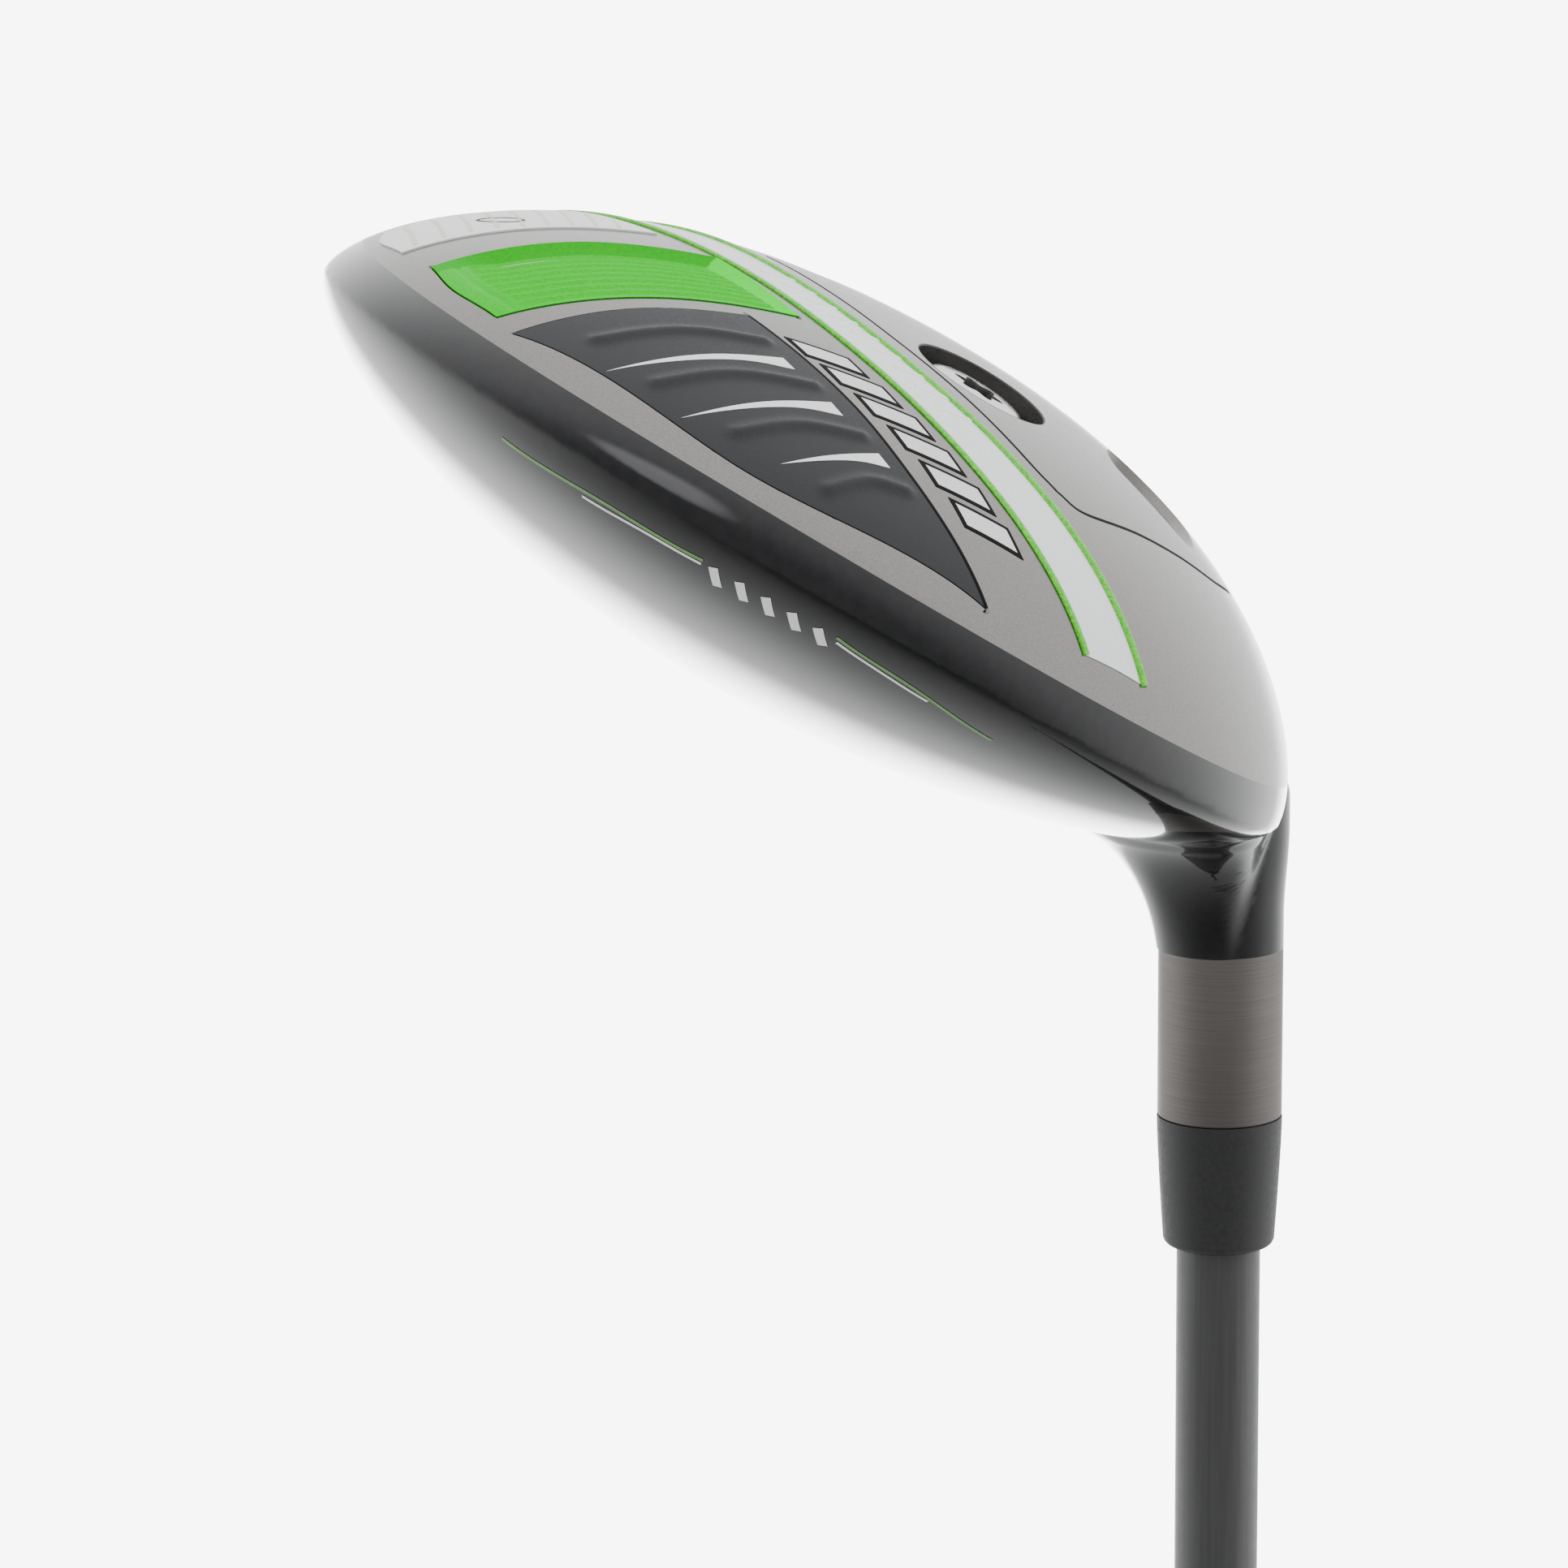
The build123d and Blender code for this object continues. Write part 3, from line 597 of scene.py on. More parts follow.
def score_distance(p):
    """Distance outside the nearest score line, and below zero in one."""
    across = np.min([np.abs(face_rise(p) - height) for height in SCORES], axis=0) - SCORE_WIDTH / 2
    gap = np.maximum(across, np.abs(p[:, 0] - FACE_MID[0]) - SCORE_LENGTH / 2)
    return np.where(face_distance(p) > -FACE_RIM, gap, 1.0)


def sole_features():
    """The sole's pockets and windows: outline, how far it is grown, depth and wall width."""
    stripe = np.concatenate([curve(STRIPE_INNER), curve(STRIPE_OUTER)[::-1]])
    return [
        (chain(BADGE), 0.12, POCKET, 0.1),
        (chain(PANEL), 0.12, POCKET, 0.1),
        (stripe, 0.1, STRIPE_SEAT, 0.1),
        (curve(TOE_WINDOW, closed=True), 0.0, WINDOW_DEPTH, 0.5),
        (curve(HEEL_WINDOW, closed=True), 0.0, WINDOW_DEPTH, 0.5),
    ]


def port_distance(p):
    """Plan distance outside the weight port's rim."""
    return on_sole(p, np.hypot(p[:, 0] - PORT[0], p[:, 1] - PORT[1]) - PORT_R)


def head_mesh():
    """The settled head as points and faces, cut along its paint lines and the edges of its features."""
    points, faces = remeshed(*rough_head(), VOXEL)
    bm = bmesh.new()
    verts = [bm.verts.new(p) for p in settle(points)]
    for face in faces:
        bm.faces.new([verts[i] for i in face])
    split_along(bm, lambda p: along_shaft(p) - PAINT_END)
    split_along(bm, lambda p: p[:, 2] - skirt_height(p[:, 0], p[:, 1]) + PAINT_DROP)
    split_along(bm, lambda p: face_distance(p) + FACE_RIM)
    split_along(bm, lambda p: p[:, 0] - FACE_HEEL)
    split_along(bm, port_distance)
    for path, grow, _, ramp in sole_features():
        for edge in (grow, grow - ramp):
            split_along(bm, lambda p: on_sole(p, path_distance(p, path) - edge))
    for height in SCORES:
        split_along(bm, lambda p: face_rise(p) - height)
    for edge in (0, -SCORE_WALL):
        split_along(bm, lambda p: score_distance(p) - edge)
    bm.verts.index_update()
    points = np.array([v.co for v in bm.verts], float)
    faces = [[v.index for v in f.verts] for f in bm.faces]
    bm.free()
    return points, faces


def carved(points):
    """Presses the sole's pockets and the face's score lines in; also says which points they touch."""
    depth = np.zeros(len(points))
    touched = np.zeros(len(points), bool)
    for path, grow, deep, ramp in sole_features():
        gap = on_sole(points, path_distance(points, path))
        depth = np.maximum(depth, deep * np.clip((grow - gap) / ramp, 0, 1))
        touched |= gap < grow + 0.02
    score = score_distance(points)
    depth = np.maximum(depth, SCORE_DEPTH * np.clip(-score / SCORE_WALL, 0, 1))
    touched |= score < 0.02
    return points - depth[:, None] * normals_at(points), touched


def shell_piece(name, points, faces, keep, normals, material, node):
    """One material's share of the head, with the exact normals wherever they were kept."""
    chosen = [f for f, k in zip(faces, keep) if k]
    used = sorted({i for f in chosen for i in f})
    number = {old: new for new, old in enumerate(used)}
    kept = [[number[i] for i in f] for f in chosen]
    mesh = make_object(name, to_row(points[used]), kept, [material], replaces=[node]).data
    turned = normals[used] @ AXES
    mesh.normals_split_custom_set([tuple(turned[loop.vertex_index]) for loop in mesh.loops])


def head_shell(look):
    points, faces = head_mesh()
    normals = normals_at(points)
    pressed, touched = carved(points)
    normals[touched] = 0
    middle = np.array([points[f].mean(0) for f in faces])
    hosel = along_shaft(middle) < PAINT_END
    face = (face_distance(middle) > -FACE_RIM) & (middle[:, 0] > FACE_HEEL)
    black = middle[:, 2] > skirt_height(middle[:, 0], middle[:, 1]) - PAINT_DROP
    rest = ~(hosel | (port_distance(middle) < 0))
    for name, keep, finish, slot, node in (
        ("painted_crown", black & ~face, "paint", "crown_paint", "crown_panel"),
        ("metal_sole", ~black & ~face, "sole", "sole_metal", "head_body"),
        ("striking_face", face, "face", "face_metal", "face_cup"),
    ):
        shell_piece(name, pressed, faces, rest & keep, normals, look[finish], node)


# ---- turned pieces
def rounded_corner(r, z, size, start, sweep=math.pi / 2):
    """Profile points on a small arc whose centre is (r, z)."""
    turns = [start + sweep * k / 5 for k in range(6)]
    return [(r + size * math.cos(turn), z + size * math.sin(turn)) for turn in turns]


def hosel_band(look):
    top, end = CLUB + PAINT_END, CLUB + HOSEL_END
    outside = HOSEL_R - 0.05
    profile = [(5.0, top), (outside, top), (outside, end + 0.3), (HOSEL_R - 0.2, end), (5.0, end)]
    lathe("hosel_band", profile, look["band"])


def ferrule(look):
    top, end = CLUB + HOSEL_END, CLUB + FERRULE_END
    mouth, corner = 5.68, 0.9
    profile = [(4.4, top), (HOSEL_R - 0.05, top), (HOSEL_R, top - 0.15)]
    for k in range(1, 9):
        share = k / 8
        profile.append((HOSEL_R - (HOSEL_R - mouth) * share**1.3, top - 0.15 - share * 12.3))
    profile += rounded_corner(mouth - corner, end + corner, corner, 0, -math.pi / 2)
    profile += [(4.6, end)]
    lathe("ferrule_sleeve", profile, look["ferrule"], ["ferrule"])


def shaft(look):
    """The long hollow graphite taper, straight over its first and last stretch."""
    tip, butt_r, tip_r, bore_r = CLUB + HOSEL_END + 32, 7.6, 4.25, 2.4
    start, first, last = 9, 40, tip - 90
    rows = [(butt_r, start), (butt_r, first)]
    for k in range(1, 13):
        share = k / 12
        rows.append((butt_r - (butt_r - tip_r) * share, first + share * (last - first)))
    rows += [(tip_r, tip - 1), (3.9, tip - 0.3), (bore_r, tip - 0.3), (bore_r, last)]
    rows += [(butt_r - 1, first), (butt_r - 1, start)]
    lathe("graphite_shaft", rows, look["graphite"], ["shaft"])


GRIP_END, GRIP_WAIST = 267, 110
GROOVED = (22, 238)


def grip_radius(z):
    """The grip tapers quickly below the cap, then slowly to its mouth."""
    butt, waist, mouth = 13.2, 10.6, 9.0
    if z < GRIP_WAIST:
        return butt - (butt - waist) * (1 - (1 - z / GRIP_WAIST) ** 1.6)
    return waist - (waist - mouth) * (z - GRIP_WAIST) / (GRIP_END - GRIP_WAIST)


def grip_groove(turn, r, z):
    """Crossed helical grooves, with plain bands at the grip's ends; none on the bore."""
    low, high = GROOVED
    if r < 8.8 or not low < z < high:
        return 0.0
    zone = min(1, (z - low) / 4, (high - z) / 4)
    twist = z * 0.105
    one = abs(math.sin(6 * (turn + twist)))
    other = abs(math.sin(6 * (turn - twist)))
    cut = max(0, 1 - min(one, other) / 0.22)
    return -0.38 * zone * cut


def grip(look):
    rows = [(7.9, 4), (12.6, 4), (13.0, 4.4)]
    rows += [(grip_radius(z), z) for z in np.arange(6, 20, 2.0)]
    rows += [(grip_radius(z), z) for z in np.arange(20, 240, 1.1)]
    rows += [(grip_radius(z), z) for z in np.arange(240, 265, 3.0)]
    rows += [(9.0, 265.5), (8.6, 266.7), (8.1, GRIP_END), (8.0, 266), (7.9, 40)]
    lathe("grip_sleeve_grooved", rows, look["rubber"], ["grip_sleeve"], 144, grip_groove)
    cap = [(2.0, 3.9), (2.0, 0.4), (2.3, 0.05), (6.5, 0.05), (6.9, 0.4), (7.5, 0.4), (7.9, 0.05)]
    cap += rounded_corner(13.6 - 1.4, 1.4, 1.35, -math.pi / 2)
    cap += [(13.55, 2.6), (13.2, 3.0), (13.2, 3.3), (13.5, 3.6), (13.3, 3.95)]
    lathe("grip_cap_ringed", cap, look["rubber"], ["grip_cap"])


# ---- port and screw
def at_port(r, turn, c):
    return (PORT[0] + r * math.cos(turn), PORT[1] + r * math.sin(turn), c)


def ringed(name, rings, dark, materials, body, replaces, segments):
    """Rings round the port's axis joined in order; a ring is (radius, height, depth of its six lobes).

    The first few rows, as many as dark says, take the second material; on the screw these are the socket's
    rows, and the near-black recess finish there is painted shade.
    """
    verts = []
    for radius, c, lobe in rings:
        for s in range(segments):
            turn = 2 * math.pi * s / segments
            verts.append(at_port(radius + lobe * math.cos(6 * turn), turn, c))
    quads = ring_faces([(k, k + 1) for k in range(len(rings) - 1)], segments)
    kinds = [int(k < dark) for k in range(len(rings) - 1) for _ in range(segments)]
    faces = [quad[1:] + quad[:1] for quad in quads]
    make_object(name, to_row(verts), faces, materials, body, replaces, kinds)


def port_lip(look):
    """The recess wall between the sole's skin and the steel boss below it, coloured near black as painted
    shade in the port.
    """
    verts = []
    for turn in np.arange(ROUND) * 2 * math.pi / ROUND:
        a, b, _ = at_port(PORT_R, turn, 0)
        skin = float(surface_height(np.array(a), np.array(b), BOWL))
        section = [(0.02, skin - 0.02), (-0.1, skin + 0.12), (-0.1, 1.0), (0.9, 1.0), (0.9, skin + 0.6)]
        verts += [at_port(PORT_R + more, turn, c) for more, c in section]
    faces = ring_faces([(s, (s + 1) % ROUND) for s in range(ROUND)], 5)
    make_object("port_wall", to_row(verts), faces, [look["recess"]])


def screw(look):
    """The weight screw: a six-lobe socket in a slightly domed head, and a threaded shank."""
    top = SCREW_TOP
    head = [(0.01, top + 2.0, 0), (1.75, top + 2.0, 0.3), (2.0, top + 1.7, 0.4), (2.15, top - 0.2, 0.44)]
    head += [(2.3, top - 0.42, 0.46), (2.95, top - 0.42, 0.1), (4.2, top - 0.3, 0), (4.9, top - 0.05, 0)]
    head += [(5.3, top + 0.4, 0), (5.5, top + 0.8, 0), (5.5, top + 2.55, 0), (5.3, top + 2.8, 0)]
    start, end = top + 3.0, top + 10.8
    thread = [(2.95 if k % 2 else 2.62, start + k * 0.36, 0) for k in range(22)]
    rings = head + [(2.95, top + 2.8, 0)] + thread + [(2.3, end, 0), (0.01, end, 0)]
    # the socket's rows take the recess finish: painted shade inside the socket
    ringed("port_screw", rings, 4, [look["screw"], look["recess"]], "weight_screw",
           ["weight_screw"], 144)


# ---- inlays on the sole
def on_skin(plan, lift, form=BOWL):
    """Head points a given height proud of the sole, or of the crown."""
    base = np.column_stack([plan, surface_height(*plan.T, form)])
    return base + np.reshape(lift, (-1, 1)) * normals_at(base)


def evenly(points, count):
    """Plan points at equal distances along a smooth curve."""
    dense = curve(points, 0.1)
    run = np.concatenate([[0], np.cumsum(np.linalg.norm(np.diff(dense, axis=0), axis=1))])
    at = np.linspace(0, run[-1], count)
    return np.stack([np.interp(at, run, dense[:, 0]), np.interp(at, run, dense[:, 1])], -1)


def patch(near, far, start, end, nu, nv):
    """A grid over four sides: near and far run along, start and end run across from near to far."""
    c0, c1, d0, d1 = evenly(near, nu), evenly(far, nu), evenly(start, nv), evenly(end, nv)
    u, v = np.meshgrid(np.linspace(0, 1, nu), np.linspace(0, 1, nv), indexing="ij")
    u, v = u[..., None], v[..., None]
    ruled = (1 - v) * c0[:, None] + v * c1[:, None] + (1 - u) * d0[None] + u * d1[None]
    corners = (1 - u) * (1 - v) * c0[0] + u * (1 - v) * c0[-1] + (1 - u) * v * c1[0] + u * v * c1[-1]
    return ruled - corners, u[..., 0], v[..., 0]


def grid_faces(nu, nv):
    """The quads of a grid, and its rim's points in order."""
    starts = [i * nv + j for i in range(nu - 1) for j in range(nv - 1)]
    faces = [(k, k + nv, k + nv + 1, k + 1) for k in starts]
    rim = [i * nv for i in range(nu)] + [(nu - 1) * nv + j for j in range(1, nv)]
    rim += [i * nv + nv - 1 for i in range(nu - 2, -1, -1)] + [j for j in range(nv - 2, 0, -1)]
    return faces, rim


def filled(outline, spacing):
    """Triangles filling an outline, with even points inside; the rim is the outline's own points."""
    outline = np.asarray(outline, float)
    low, high = outline.min(0), outline.max(0)
    a, b = np.meshgrid(np.arange(low[0], high[0], spacing), np.arange(low[1], high[1], spacing * 0.87))
    a = a + spacing / 2 * (np.arange(a.shape[0]) % 2)[:, None]
    inner = np.stack([a.ravel(), b.ravel()], -1)
    inner = inner[path_distance(inner, outline) < -0.5 * spacing]
    every = np.concatenate([outline, inner])
    count = len(outline)
    rim = [(k, (k + 1) % count) for k in range(count)]
    plan, _, faces, *_ = delaunay_2d_cdt([Vector(p) for p in every], rim, [], 1, 1e-6)
    return np.array([tuple(v) for v in plan]), [list(f) for f in faces], list(range(count))


def inlay(name, plan, faces, rim, lift, foot, material, slot, replaces=()):
    """A thin solid piece on the sole: its top at the given heights, its sides down to the foot."""
    count = len(plan)
    top, low = on_skin(plan, lift), on_skin(plan[rim], foot)
    verts = np.concatenate([top, top[rim], low])  # the rim's points twice, for a crisp edge
    ring, back = plan[rim], np.roll(plan[rim], 1, 0)
    area = (back[:, 0] * ring[:, 1] - ring[:, 0] * back[:, 1]).sum()
    sides = ring_faces([(0, 1)], len(rim), count)
    if area <= 0:
        sides = [quad[::-1] for quad in sides]
    outward = []
    for face in faces:
        p, q, r = (plan[i] for i in face[:3])
        turn = (q[0] - p[0]) * (r[1] - p[1]) - (q[1] - p[1]) * (r[0] - p[0])
        outward.append(list(face) if turn < 0 else list(face)[::-1])
    return make_object(name, to_row(verts), outward + sides, [material], replaces=replaces)


def grid_inlay(name, plan, lift, *rest, **more):
    """An inlay over a grid of plan points, with one height for all of it or one for each point."""
    faces, rim = grid_faces(*plan.shape[:2])
    lift = np.broadcast_to(lift, plan.shape[:2]).ravel()
    return inlay(name, plan.reshape(-1, 2), faces, rim, lift, *rest, **more)


BADGE_LENGTH, BADGE_WIDTH = 28.0, 14.6
SIDE_WALL, END_WALL = 2.0, 2.1  # how wide the badge's sloping walls are
BADGE_SUNK, BADGE_RIBS, RIB_HEIGHT = 0.95, 8, 0.13
SEAT = -1.25  # how deep the badge and the panel reach


def badge(look):
    """The green badge: a sunk ribbed floor with a sloping inner end and side; the inner end is a lighter
    green as a painted highlight, the side a darker green as painted shade.
    """
    plan, u, v = patch(BADGE[0], BADGE[2][::-1], [BADGE[0][0], (74.6, -44), BADGE[3][0]], BADGE[1], 150, 90)
    along, across = (1 - u) * BADGE_LENGTH, v * BADGE_WIDTH
    toward = BADGE_LENGTH - along
    edge = np.minimum(np.minimum(across, BADGE_WIDTH - across), np.minimum(along, toward))
    wall = np.clip(1 - np.minimum(across / SIDE_WALL, along / END_WALL), 0, 1)
    sunk = BADGE_SUNK * (1 - v) * step(toward, 0.3, 6.0)
    waves = (across - SIDE_WALL) / (BADGE_WIDTH - SIDE_WALL) * BADGE_RIBS
    ribs = RIB_HEIGHT * np.cos(2 * math.pi * waves) * step(toward, 2.2, 2.8)
    frames = 0.15 * np.exp(-(((toward - 1.7) / 0.25) ** 2))
    lift = 0.1 - sunk * (1 - wall) + (ribs - frames) * step(-wall, -0.02, 0) * step(edge, 0.6, 0.9)
    piece = grid_inlay("toe_badge_ribbed", plan, lift, SEAT, look["green"], "badge_green", ["toe_badge"])
    # painted light: the inner end wall takes the lighter green, a painted highlight, and the side wall the
    # darker green, painted shade
    inner = (along < END_WALL) & (along < across)
    side = (across < SIDE_WALL) & ~inner
    kind = (inner * 1 + side * 2).ravel()
    piece.data.materials.append(look["facet"])
    piece.data.materials.append(look["shade"])
    for polygon, face in zip(piece.data.polygons, grid_faces(*plan.shape[:2])[0]):
        polygon.material_index = int(min(kind[i] for i in face))


RIDGES = [
    [(60.4, -51.5), (54.4, -45.5), (47.8, -41.7)],
    [(53.5, -56), (48.3, -50.4), (41.6, -46.4)],
    [(45, -59), (40.6, -54), (35.4, -50.9)],
    [(35.3, -60.5), (32.6, -56.6), (29.3, -54.9)],
]
STREAKS = [
    [(58, -56.2), (51.6, -49), (45.4, -43.6), (43.9, -44.9)],
    [(49.9, -59.8), (44.6, -53.2), (39.4, -47.9), (37.8, -49.2)],
    [(40.1, -60.5), (36.6, -56), (33.2, -52.1), (31.6, -53.2)],
]


def panel_relief(plan):
    """Height of the panel over the sole: flat, with a rounded ridge along each line."""
    gap = np.min([path_distance(plan, curve(ridge), closed=False) for ridge in RIDGES], axis=0)
    return 0.02 + 0.4 * np.exp(-((gap / 0.72) ** 2))


def louvre_panel(look):
    plan, faces, rim = filled(chain(PANEL, 0.4), 0.38)
    inlay("louvre_panel_ridged", plan, faces, rim, panel_relief(plan), SEAT, look["panel"], "panel_black",
          ["louvre_panel"])


def panel_gap_painted_shade(look):
    """A thin black bead along the panel's stripe side: painted shade for the gap there."""
    path = offset_path(evenly(PANEL[1], 90), -0.1)
    raised_line("panel_gap_shade_bead", path, 0.42, 0.04, look["outline"], "panel_black")


def streak_outline(start, bend, near, far):
    """A slim curved spear, widest at its inner end."""
    side = curve([start, bend, near], 0.4)
    back = curve([far, ((bend[0] * 2 + far[0]) / 3 - 0.1, (bend[1] * 2 + far[1]) / 3 - 0.2), start], 0.4)
    return np.concatenate([side, back[:-1]])


def streaks(look):
    for number, points in enumerate(STREAKS):
        plan, faces, rim = filled(streak_outline(*points), 0.5)
        lift = panel_relief(plan) + 0.03
        replaced = ["panel_streaks"] if number == 0 else []
        inlay(f"panel_streak_{number + 1}", plan, faces, rim, lift, -0.1, look["ink"], "ink_white", replaced)


def stripe(look):
    ends = [[STRIPE_INNER[k], STRIPE_OUTER[k]] for k in (0, -1)]
    plan, _, _ = patch(STRIPE_INNER, STRIPE_OUTER, *ends, 170, 16)
    grid_inlay("stripe_film_pearl", plan, 0.02, -0.28, look["pearl"], "stripe_white", ["stripe_film"])


def offset_path(path, reach):
    """A path moved sideways by reach, to its left."""
    run = np.gradient(path, axis=0)
    run /= np.linalg.norm(run, axis=1)[:, None]
    return path + reach * np.stack([-run[:, 1], run[:, 0]], -1)


def raised_line(name, path, width, height, material, slot, replaces=(), foot=-0.2):
    """A bead of paint with a rounded top, along a plan path."""
    shape = [(-0.5, 0.35), (-0.36, 0.82), (-0.14, 1.0), (0.14, 1.0), (0.36, 0.82), (0.5, 0.35)]
    plan = np.stack([offset_path(path, share * width) for share, _ in shape], 1)
    return grid_inlay(name, plan, np.array([h for _, h in shape]) * height, foot, material, slot, replaces)


def stripe_lines(look):
    lines = (("inner", STRIPE_INNER, -0.05, 0.8), ("outer", STRIPE_OUTER, 0.05, 1.0))
    for name, points, side, width in lines:
        path = offset_path(evenly(points, 180), side)
        raised_line(f"stripe_line_{name}", path, width, 0.28, look["glitter"], "line_green",
                    [f"stripe_edge_{name}"], foot=-0.36)


EMBLEM_START, EMBLEM_END = np.array([44.2, -37.3]), np.array([19.2, -53.3])
EMBLEM_BARS, BAR_WIDTH, BAR_REACH = 6, 2.6, 5.5
BAR_ALONG, BAR_ACROSS = np.array([-0.76, -0.65]), np.array([-0.949, 0.316])


def emblem(look):
    """A row of slanted bars, silver on a black outline, in place of lettering."""
    run = EMBLEM_END - EMBLEM_START
    for number in range(EMBLEM_BARS):
        middle = EMBLEM_START + run * (number + 0.5) / EMBLEM_BARS
        for kind, grow, lift, finish in (("edge", 0.5, 0.05, "outline"), ("bar", 0.0, 0.066, "silver")):
            half = BAR_ALONG * (BAR_WIDTH / 2 + grow)
            reach = BAR_ACROSS * (BAR_REACH / 2 + grow)
            signs = ((-1, -1), (1, -1), (1, 1), (-1, 1), (-1, -1))
            corners = [middle + i * half + j * reach for i, j in signs]
            plan, faces, rim = filled(chain([corners[k : k + 2] for k in range(4)], 0.5), 0.5)
            replaced = ["emblem_bars"] if kind == "bar" and number == 0 else []
            inlay(f"emblem_{kind}_{number + 1}", plan, faces, rim, lift, -0.1, look[finish], "emblem_silver",
                  replaced)


def plateau_edge_painted_shade(look):
    """The dark lines round the raised front of the sole: painted shade along the edge of its step."""
    for name, points in (("side", PLATEAU), ("end", PLATEAU_END)):
        raised_line(f"plateau_edge_shade_bead_{name}", evenly(points, 120), 0.44, 0.035, look["outline"], "sole_metal",
                    foot=-0.3)


MARKS, MARKS_START, MARKS_END = 9, np.array([50.6, -18.0]), np.array([29.4, -35.6])


def stripe_marks(look):
    """Faint white slashes along the stripe, in place of lettering."""
    run = MARKS_END - MARKS_START
    forward = run / np.linalg.norm(run)
    tilt = 1.9 * np.array([forward[1], -forward[0]]) + 0.7 * forward
    for number in range(MARKS):
        middle = MARKS_START + run * number / (MARKS - 1)
        path = np.array([middle - tilt + 2 * tilt * k / 8 for k in range(9)])
        raised_line(f"stripe_mark_{number + 1}", path, 0.8, 0.09, look["ink"], "ink_white", foot=-0.05)


def label(look):
    """The paper label with its printed hatch and a plain ring, in place of its text."""
    plan, _, _ = patch(LABEL[1], LABEL[3][::-1], LABEL[0][::-1], LABEL[2], 48, 30)
    grid_inlay("inventory_label_paper", plan, 0.16, -0.1, look["paper"], "label_paper", ["inventory_label"])
    outline = chain(LABEL)
    slant = np.array([0.25, 0.97])
    for number in range(9):
        middle = np.array([65.5 + 2.2 * number, -20.5 - 0.2 * number])
        line = np.array([middle + slant * t for t in np.arange(-12, 12, 0.4)])
        line = line[path_distance(line, outline) < -0.9]
        if len(line) > 5:
            raised_line(f"label_hatch_{number + 1}", line, 0.55, 0.21, look["hatch"], "label_paper",
                        foot=0.05)
    turns = np.linspace(0, 2 * math.pi, 40)
    oval = np.stack([76 + 1.9 * np.cos(turns), -21 + 1.3 * np.sin(turns)], -1)
    raised_line("label_ring", oval, 0.4, 0.22, look["panel"], "label_paper", foot=0.05)


def crown_strip(name, points, width, material):
    """A thin print on the crown, along a plan path."""
    path = evenly(points, 48)
    flat = np.stack([offset_path(path, share * width) for share in (-0.5, 0, 0.5)], 1).reshape(-1, 2)
    faces, _ = grid_faces(len(path), 3)
    make_object(name, to_row(on_skin(flat, 0.04, DOME)), faces, [material])


def crown_prints(look):
    """Fine printed lines along the crown's trailing edge, with a plain row of bars between them."""
    for name, finish, width, points in (
        ("green_toe", "decal", 0.35, [(62.8, -57.8), (52, -62.9), (41.3, -65.6)]),
        ("green_heel", "decal", 0.35, [(27.5, -65.6), (19, -62.8), (10.6, -57.9)]),
        ("white_toe", "ink", 0.3, [(53.7, -61.5), (47.5, -63.7), (41.3, -65.1)]),
        ("white_heel", "ink", 0.3, [(27.3, -65.0), (22.5, -63.5), (17.5, -61.6)]),
    ):
        crown_strip(f"decal_{name}", points, width, look[finish])
    for number in range(5):
        a = 39.6 - 2.7 * number
        b = -66.0 + 0.012 * (a - 34) ** 2
        points = [(a + 0.6, b), (a, b + 1.0), (a - 0.6, b + 2.0)]
        crown_strip(f"decal_bar_{number + 1}", points, 0.95, look["ink"])


# ---- carried-over model pieces
def finish_model_nodes(look):
    """Finishes for the model's own nodes that stay in view inside the club."""
    # the weight port takes the recess finish, painted shade in the port
    finishes = dict(
        crown_bond="glue", brace_blade_toe="steel", brace_blade_heel="steel", weight_port="recess",
        weight_washer="washer", badge_adhesive="glue", panel_adhesive="glue", damping_pad="rubbery",
        shaft_epoxy="glue", tip_weight="brass", tip_plug="cork", grip_tape="tape",
    )
    for node, finish in finishes.items():
        mesh = frame["nodes"][node].data
        mesh.materials.clear()
        mesh.materials.append(look[finish])


# ---- stage
VIEW_TURN, VIEW_RISE, VIEW_ROLL = math.radians(6.8), math.radians(11.66), math.radians(-0.36)
FOCAL = 3.94151  # focal length over picture width
DISTANCE = 0.625
BACKDROP = 8.0  # how bright the camera sees the floor and the sky
STUDIO_WHITE = (0.985, 0.992, 1, 1)


def camera():
    """A long lens aimed beside the hosel's end."""
    out = math.cos(VIEW_RISE)
    back = Vector((math.sin(VIEW_TURN) * out, -math.cos(VIEW_TURN) * out, math.sin(VIEW_RISE)))
    right = Vector((math.cos(VIEW_TURN), math.sin(VIEW_TURN), 0))
    up = right.cross(-back)
    level, tilt = math.cos(VIEW_ROLL), math.sin(VIEW_ROLL)
    right, up = right * level + up * tilt, up * level - right * tilt
    hosel = Vector((0, 0, (CLUB + HOSEL_END) * MM))
    place = hosel - (-back + 0.07045 * right - 0.05334 * up) * DISTANCE
    lens = bpy.data.cameras.new("camera")
    lens.sensor_width = 36
    lens.lens = 36 * FOCAL
    lens.clip_end = 200
    rig = linked("camera", lens)
    rig.matrix_world = Matrix.Translation(place) @ Matrix((right, up, back)).transposed().to_4x4()
    bpy.context.scene.camera = rig


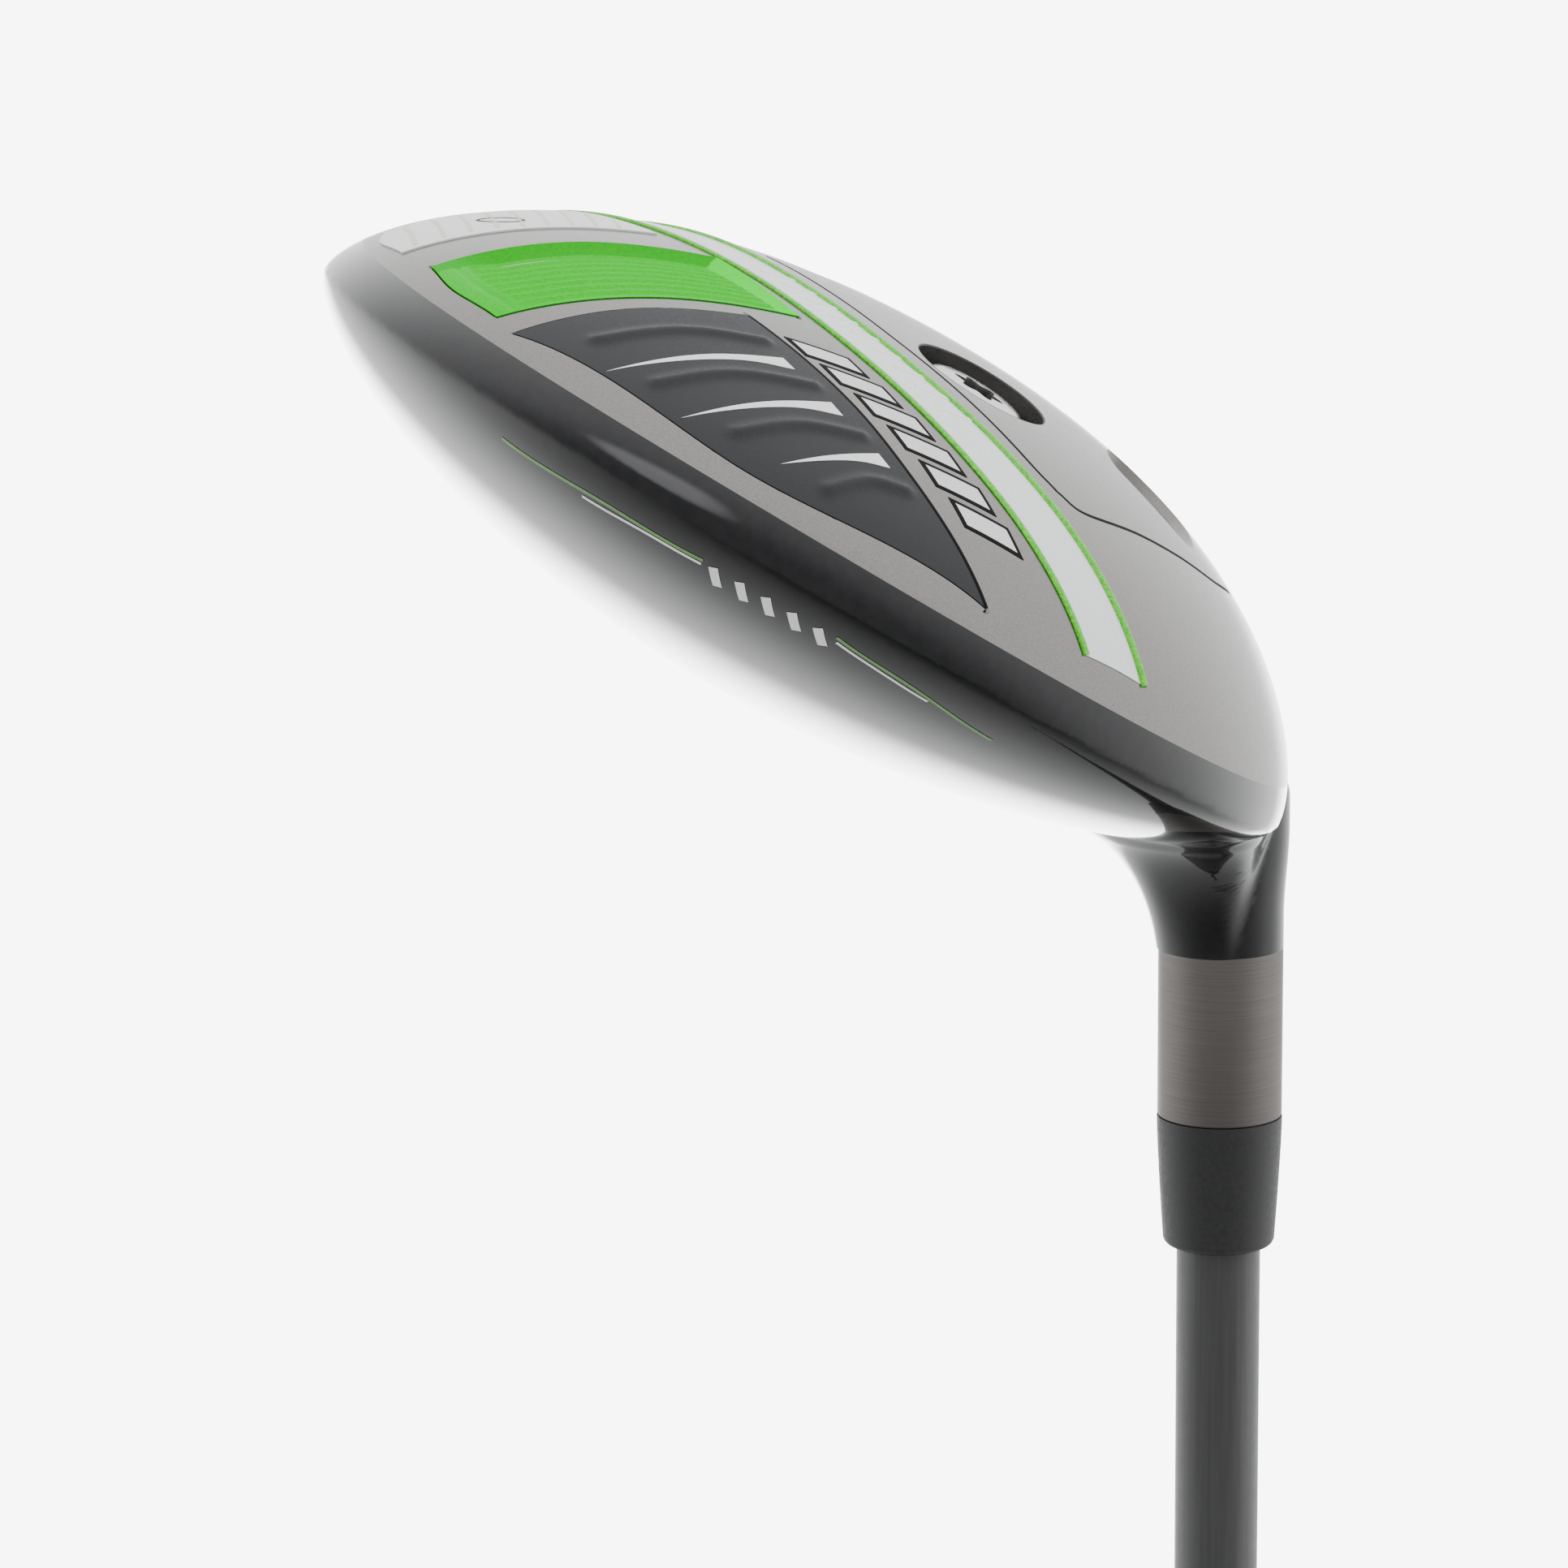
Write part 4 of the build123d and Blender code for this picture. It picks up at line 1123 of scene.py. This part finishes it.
def floor():
    """A pale floor, lit evenly to white for the camera."""
    bm = bmesh.new()
    bmesh.ops.create_circle(bm, cap_ends=True, segments=96, radius=60)
    mesh = bpy.data.meshes.new("floor")
    bm.to_mesh(mesh)
    bm.free()
    piece = linked("floor", mesh)
    material = bpy.data.materials.new("pale_floor")
    material.use_nodes = True
    nodes, links = material.node_tree.nodes, material.node_tree.links
    nodes.remove(nodes["Principled BSDF"])
    glow, clear = nodes.new("ShaderNodeEmission"), nodes.new("ShaderNodeBsdfTransparent")
    mix, path = nodes.new("ShaderNodeMixShader"), nodes.new("ShaderNodeLightPath")
    glow.inputs["Strength"].default_value = BACKDROP
    glow.inputs["Color"].default_value = STUDIO_WHITE
    links.new(path.outputs["Is Camera Ray"], mix.inputs[0])
    links.new(clear.outputs[0], mix.inputs[1])
    links.new(glow.outputs[0], mix.inputs[2])
    links.new(mix.outputs[0], nodes["Material Output"].inputs["Surface"])
    mesh.materials.append(material)


def world():
    """A white light tent, dimmer on the camera's side and brightest low down behind the club."""
    sky = bpy.data.worlds.new("studio")
    bpy.context.scene.world = sky
    sky.use_nodes = True
    nodes, links = sky.node_tree.nodes, sky.node_tree.links
    place = nodes.new("ShaderNodeTexCoord").outputs["Generated"]
    split = nodes.new("ShaderNodeSeparateXYZ")
    links.new(place, split.inputs[0])

    def ramp(value, *numbers):
        return map_range(nodes, links, value, *numbers, "SMOOTHSTEP")

    def join(kind, one, other):
        node = nodes.new("ShaderNodeMath")
        node.operation = kind
        for socket, value in zip(node.inputs, (one, other)):
            if isinstance(value, (int, float)):
                socket.default_value = value
            else:
                links.new(value, socket)
        return node.outputs[0]

    _, y, z = split.outputs
    tent = ramp(y, -0.75, 0.1, 0.7, 1.9)

    def towards(direction):
        node = nodes.new("ShaderNodeVectorMath")
        node.operation = "DOT_PRODUCT"
        node.inputs[1].default_value = direction
        links.new(place, node.inputs[0])
        return node.outputs["Value"]

    behind, above = (-0.1163, 0.9725, -0.2021), (0.02, -0.38, 0.925)
    far = join("MULTIPLY", ramp(towards(behind), 0.90, 0.995, 0.0, 5.5), ramp(z, 0.02, -0.16, 0.0, 1.0))
    lamp = join("MULTIPLY", ramp(towards(above), 0.955, 0.992, 0.0, 3.2), ramp(y, -0.15, -0.3, 0.0, 1.0))
    low = ramp(z, -0.8, -0.3, 0.45, 1.0)
    total = join("ADD", join("MULTIPLY", tent, low), join("ADD", far, lamp))
    path = nodes.new("ShaderNodeLightPath")
    seen = join("MAXIMUM", total, join("MULTIPLY", path.outputs["Is Camera Ray"], BACKDROP))
    links.new(seen, nodes["Background"].inputs["Strength"])
    nodes["Background"].inputs["Color"].default_value = STUDIO_WHITE


def key_light():
    """A large soft lamp above the camera's side, not seen in reflections."""
    lamp = bpy.data.lights.new("key", "AREA")
    lamp.shape = "RECTANGLE"
    lamp.size, lamp.size_y, lamp.energy = 0.9, 0.6, 3.0
    rig = linked("key", lamp)
    rig.location = (0.05, -0.75, 2.3)
    rig.visible_glossy = False
    head = Vector((-0.03, -0.03, 1.08))
    rig.rotation_euler = (rig.location - head).to_track_quat("Z", "Y").to_euler()


def build():
    camera()
    floor()
    world()
    key_light()
    look = looks()
    for make in (
        head_shell, hosel_band, ferrule, shaft, grip, port_lip, screw, badge, louvre_panel, streaks,
        panel_gap_painted_shade, stripe, stripe_lines, emblem, plateau_edge_painted_shade, stripe_marks, label, crown_prints,
        finish_model_nodes,
    ):
        make(look)


build()
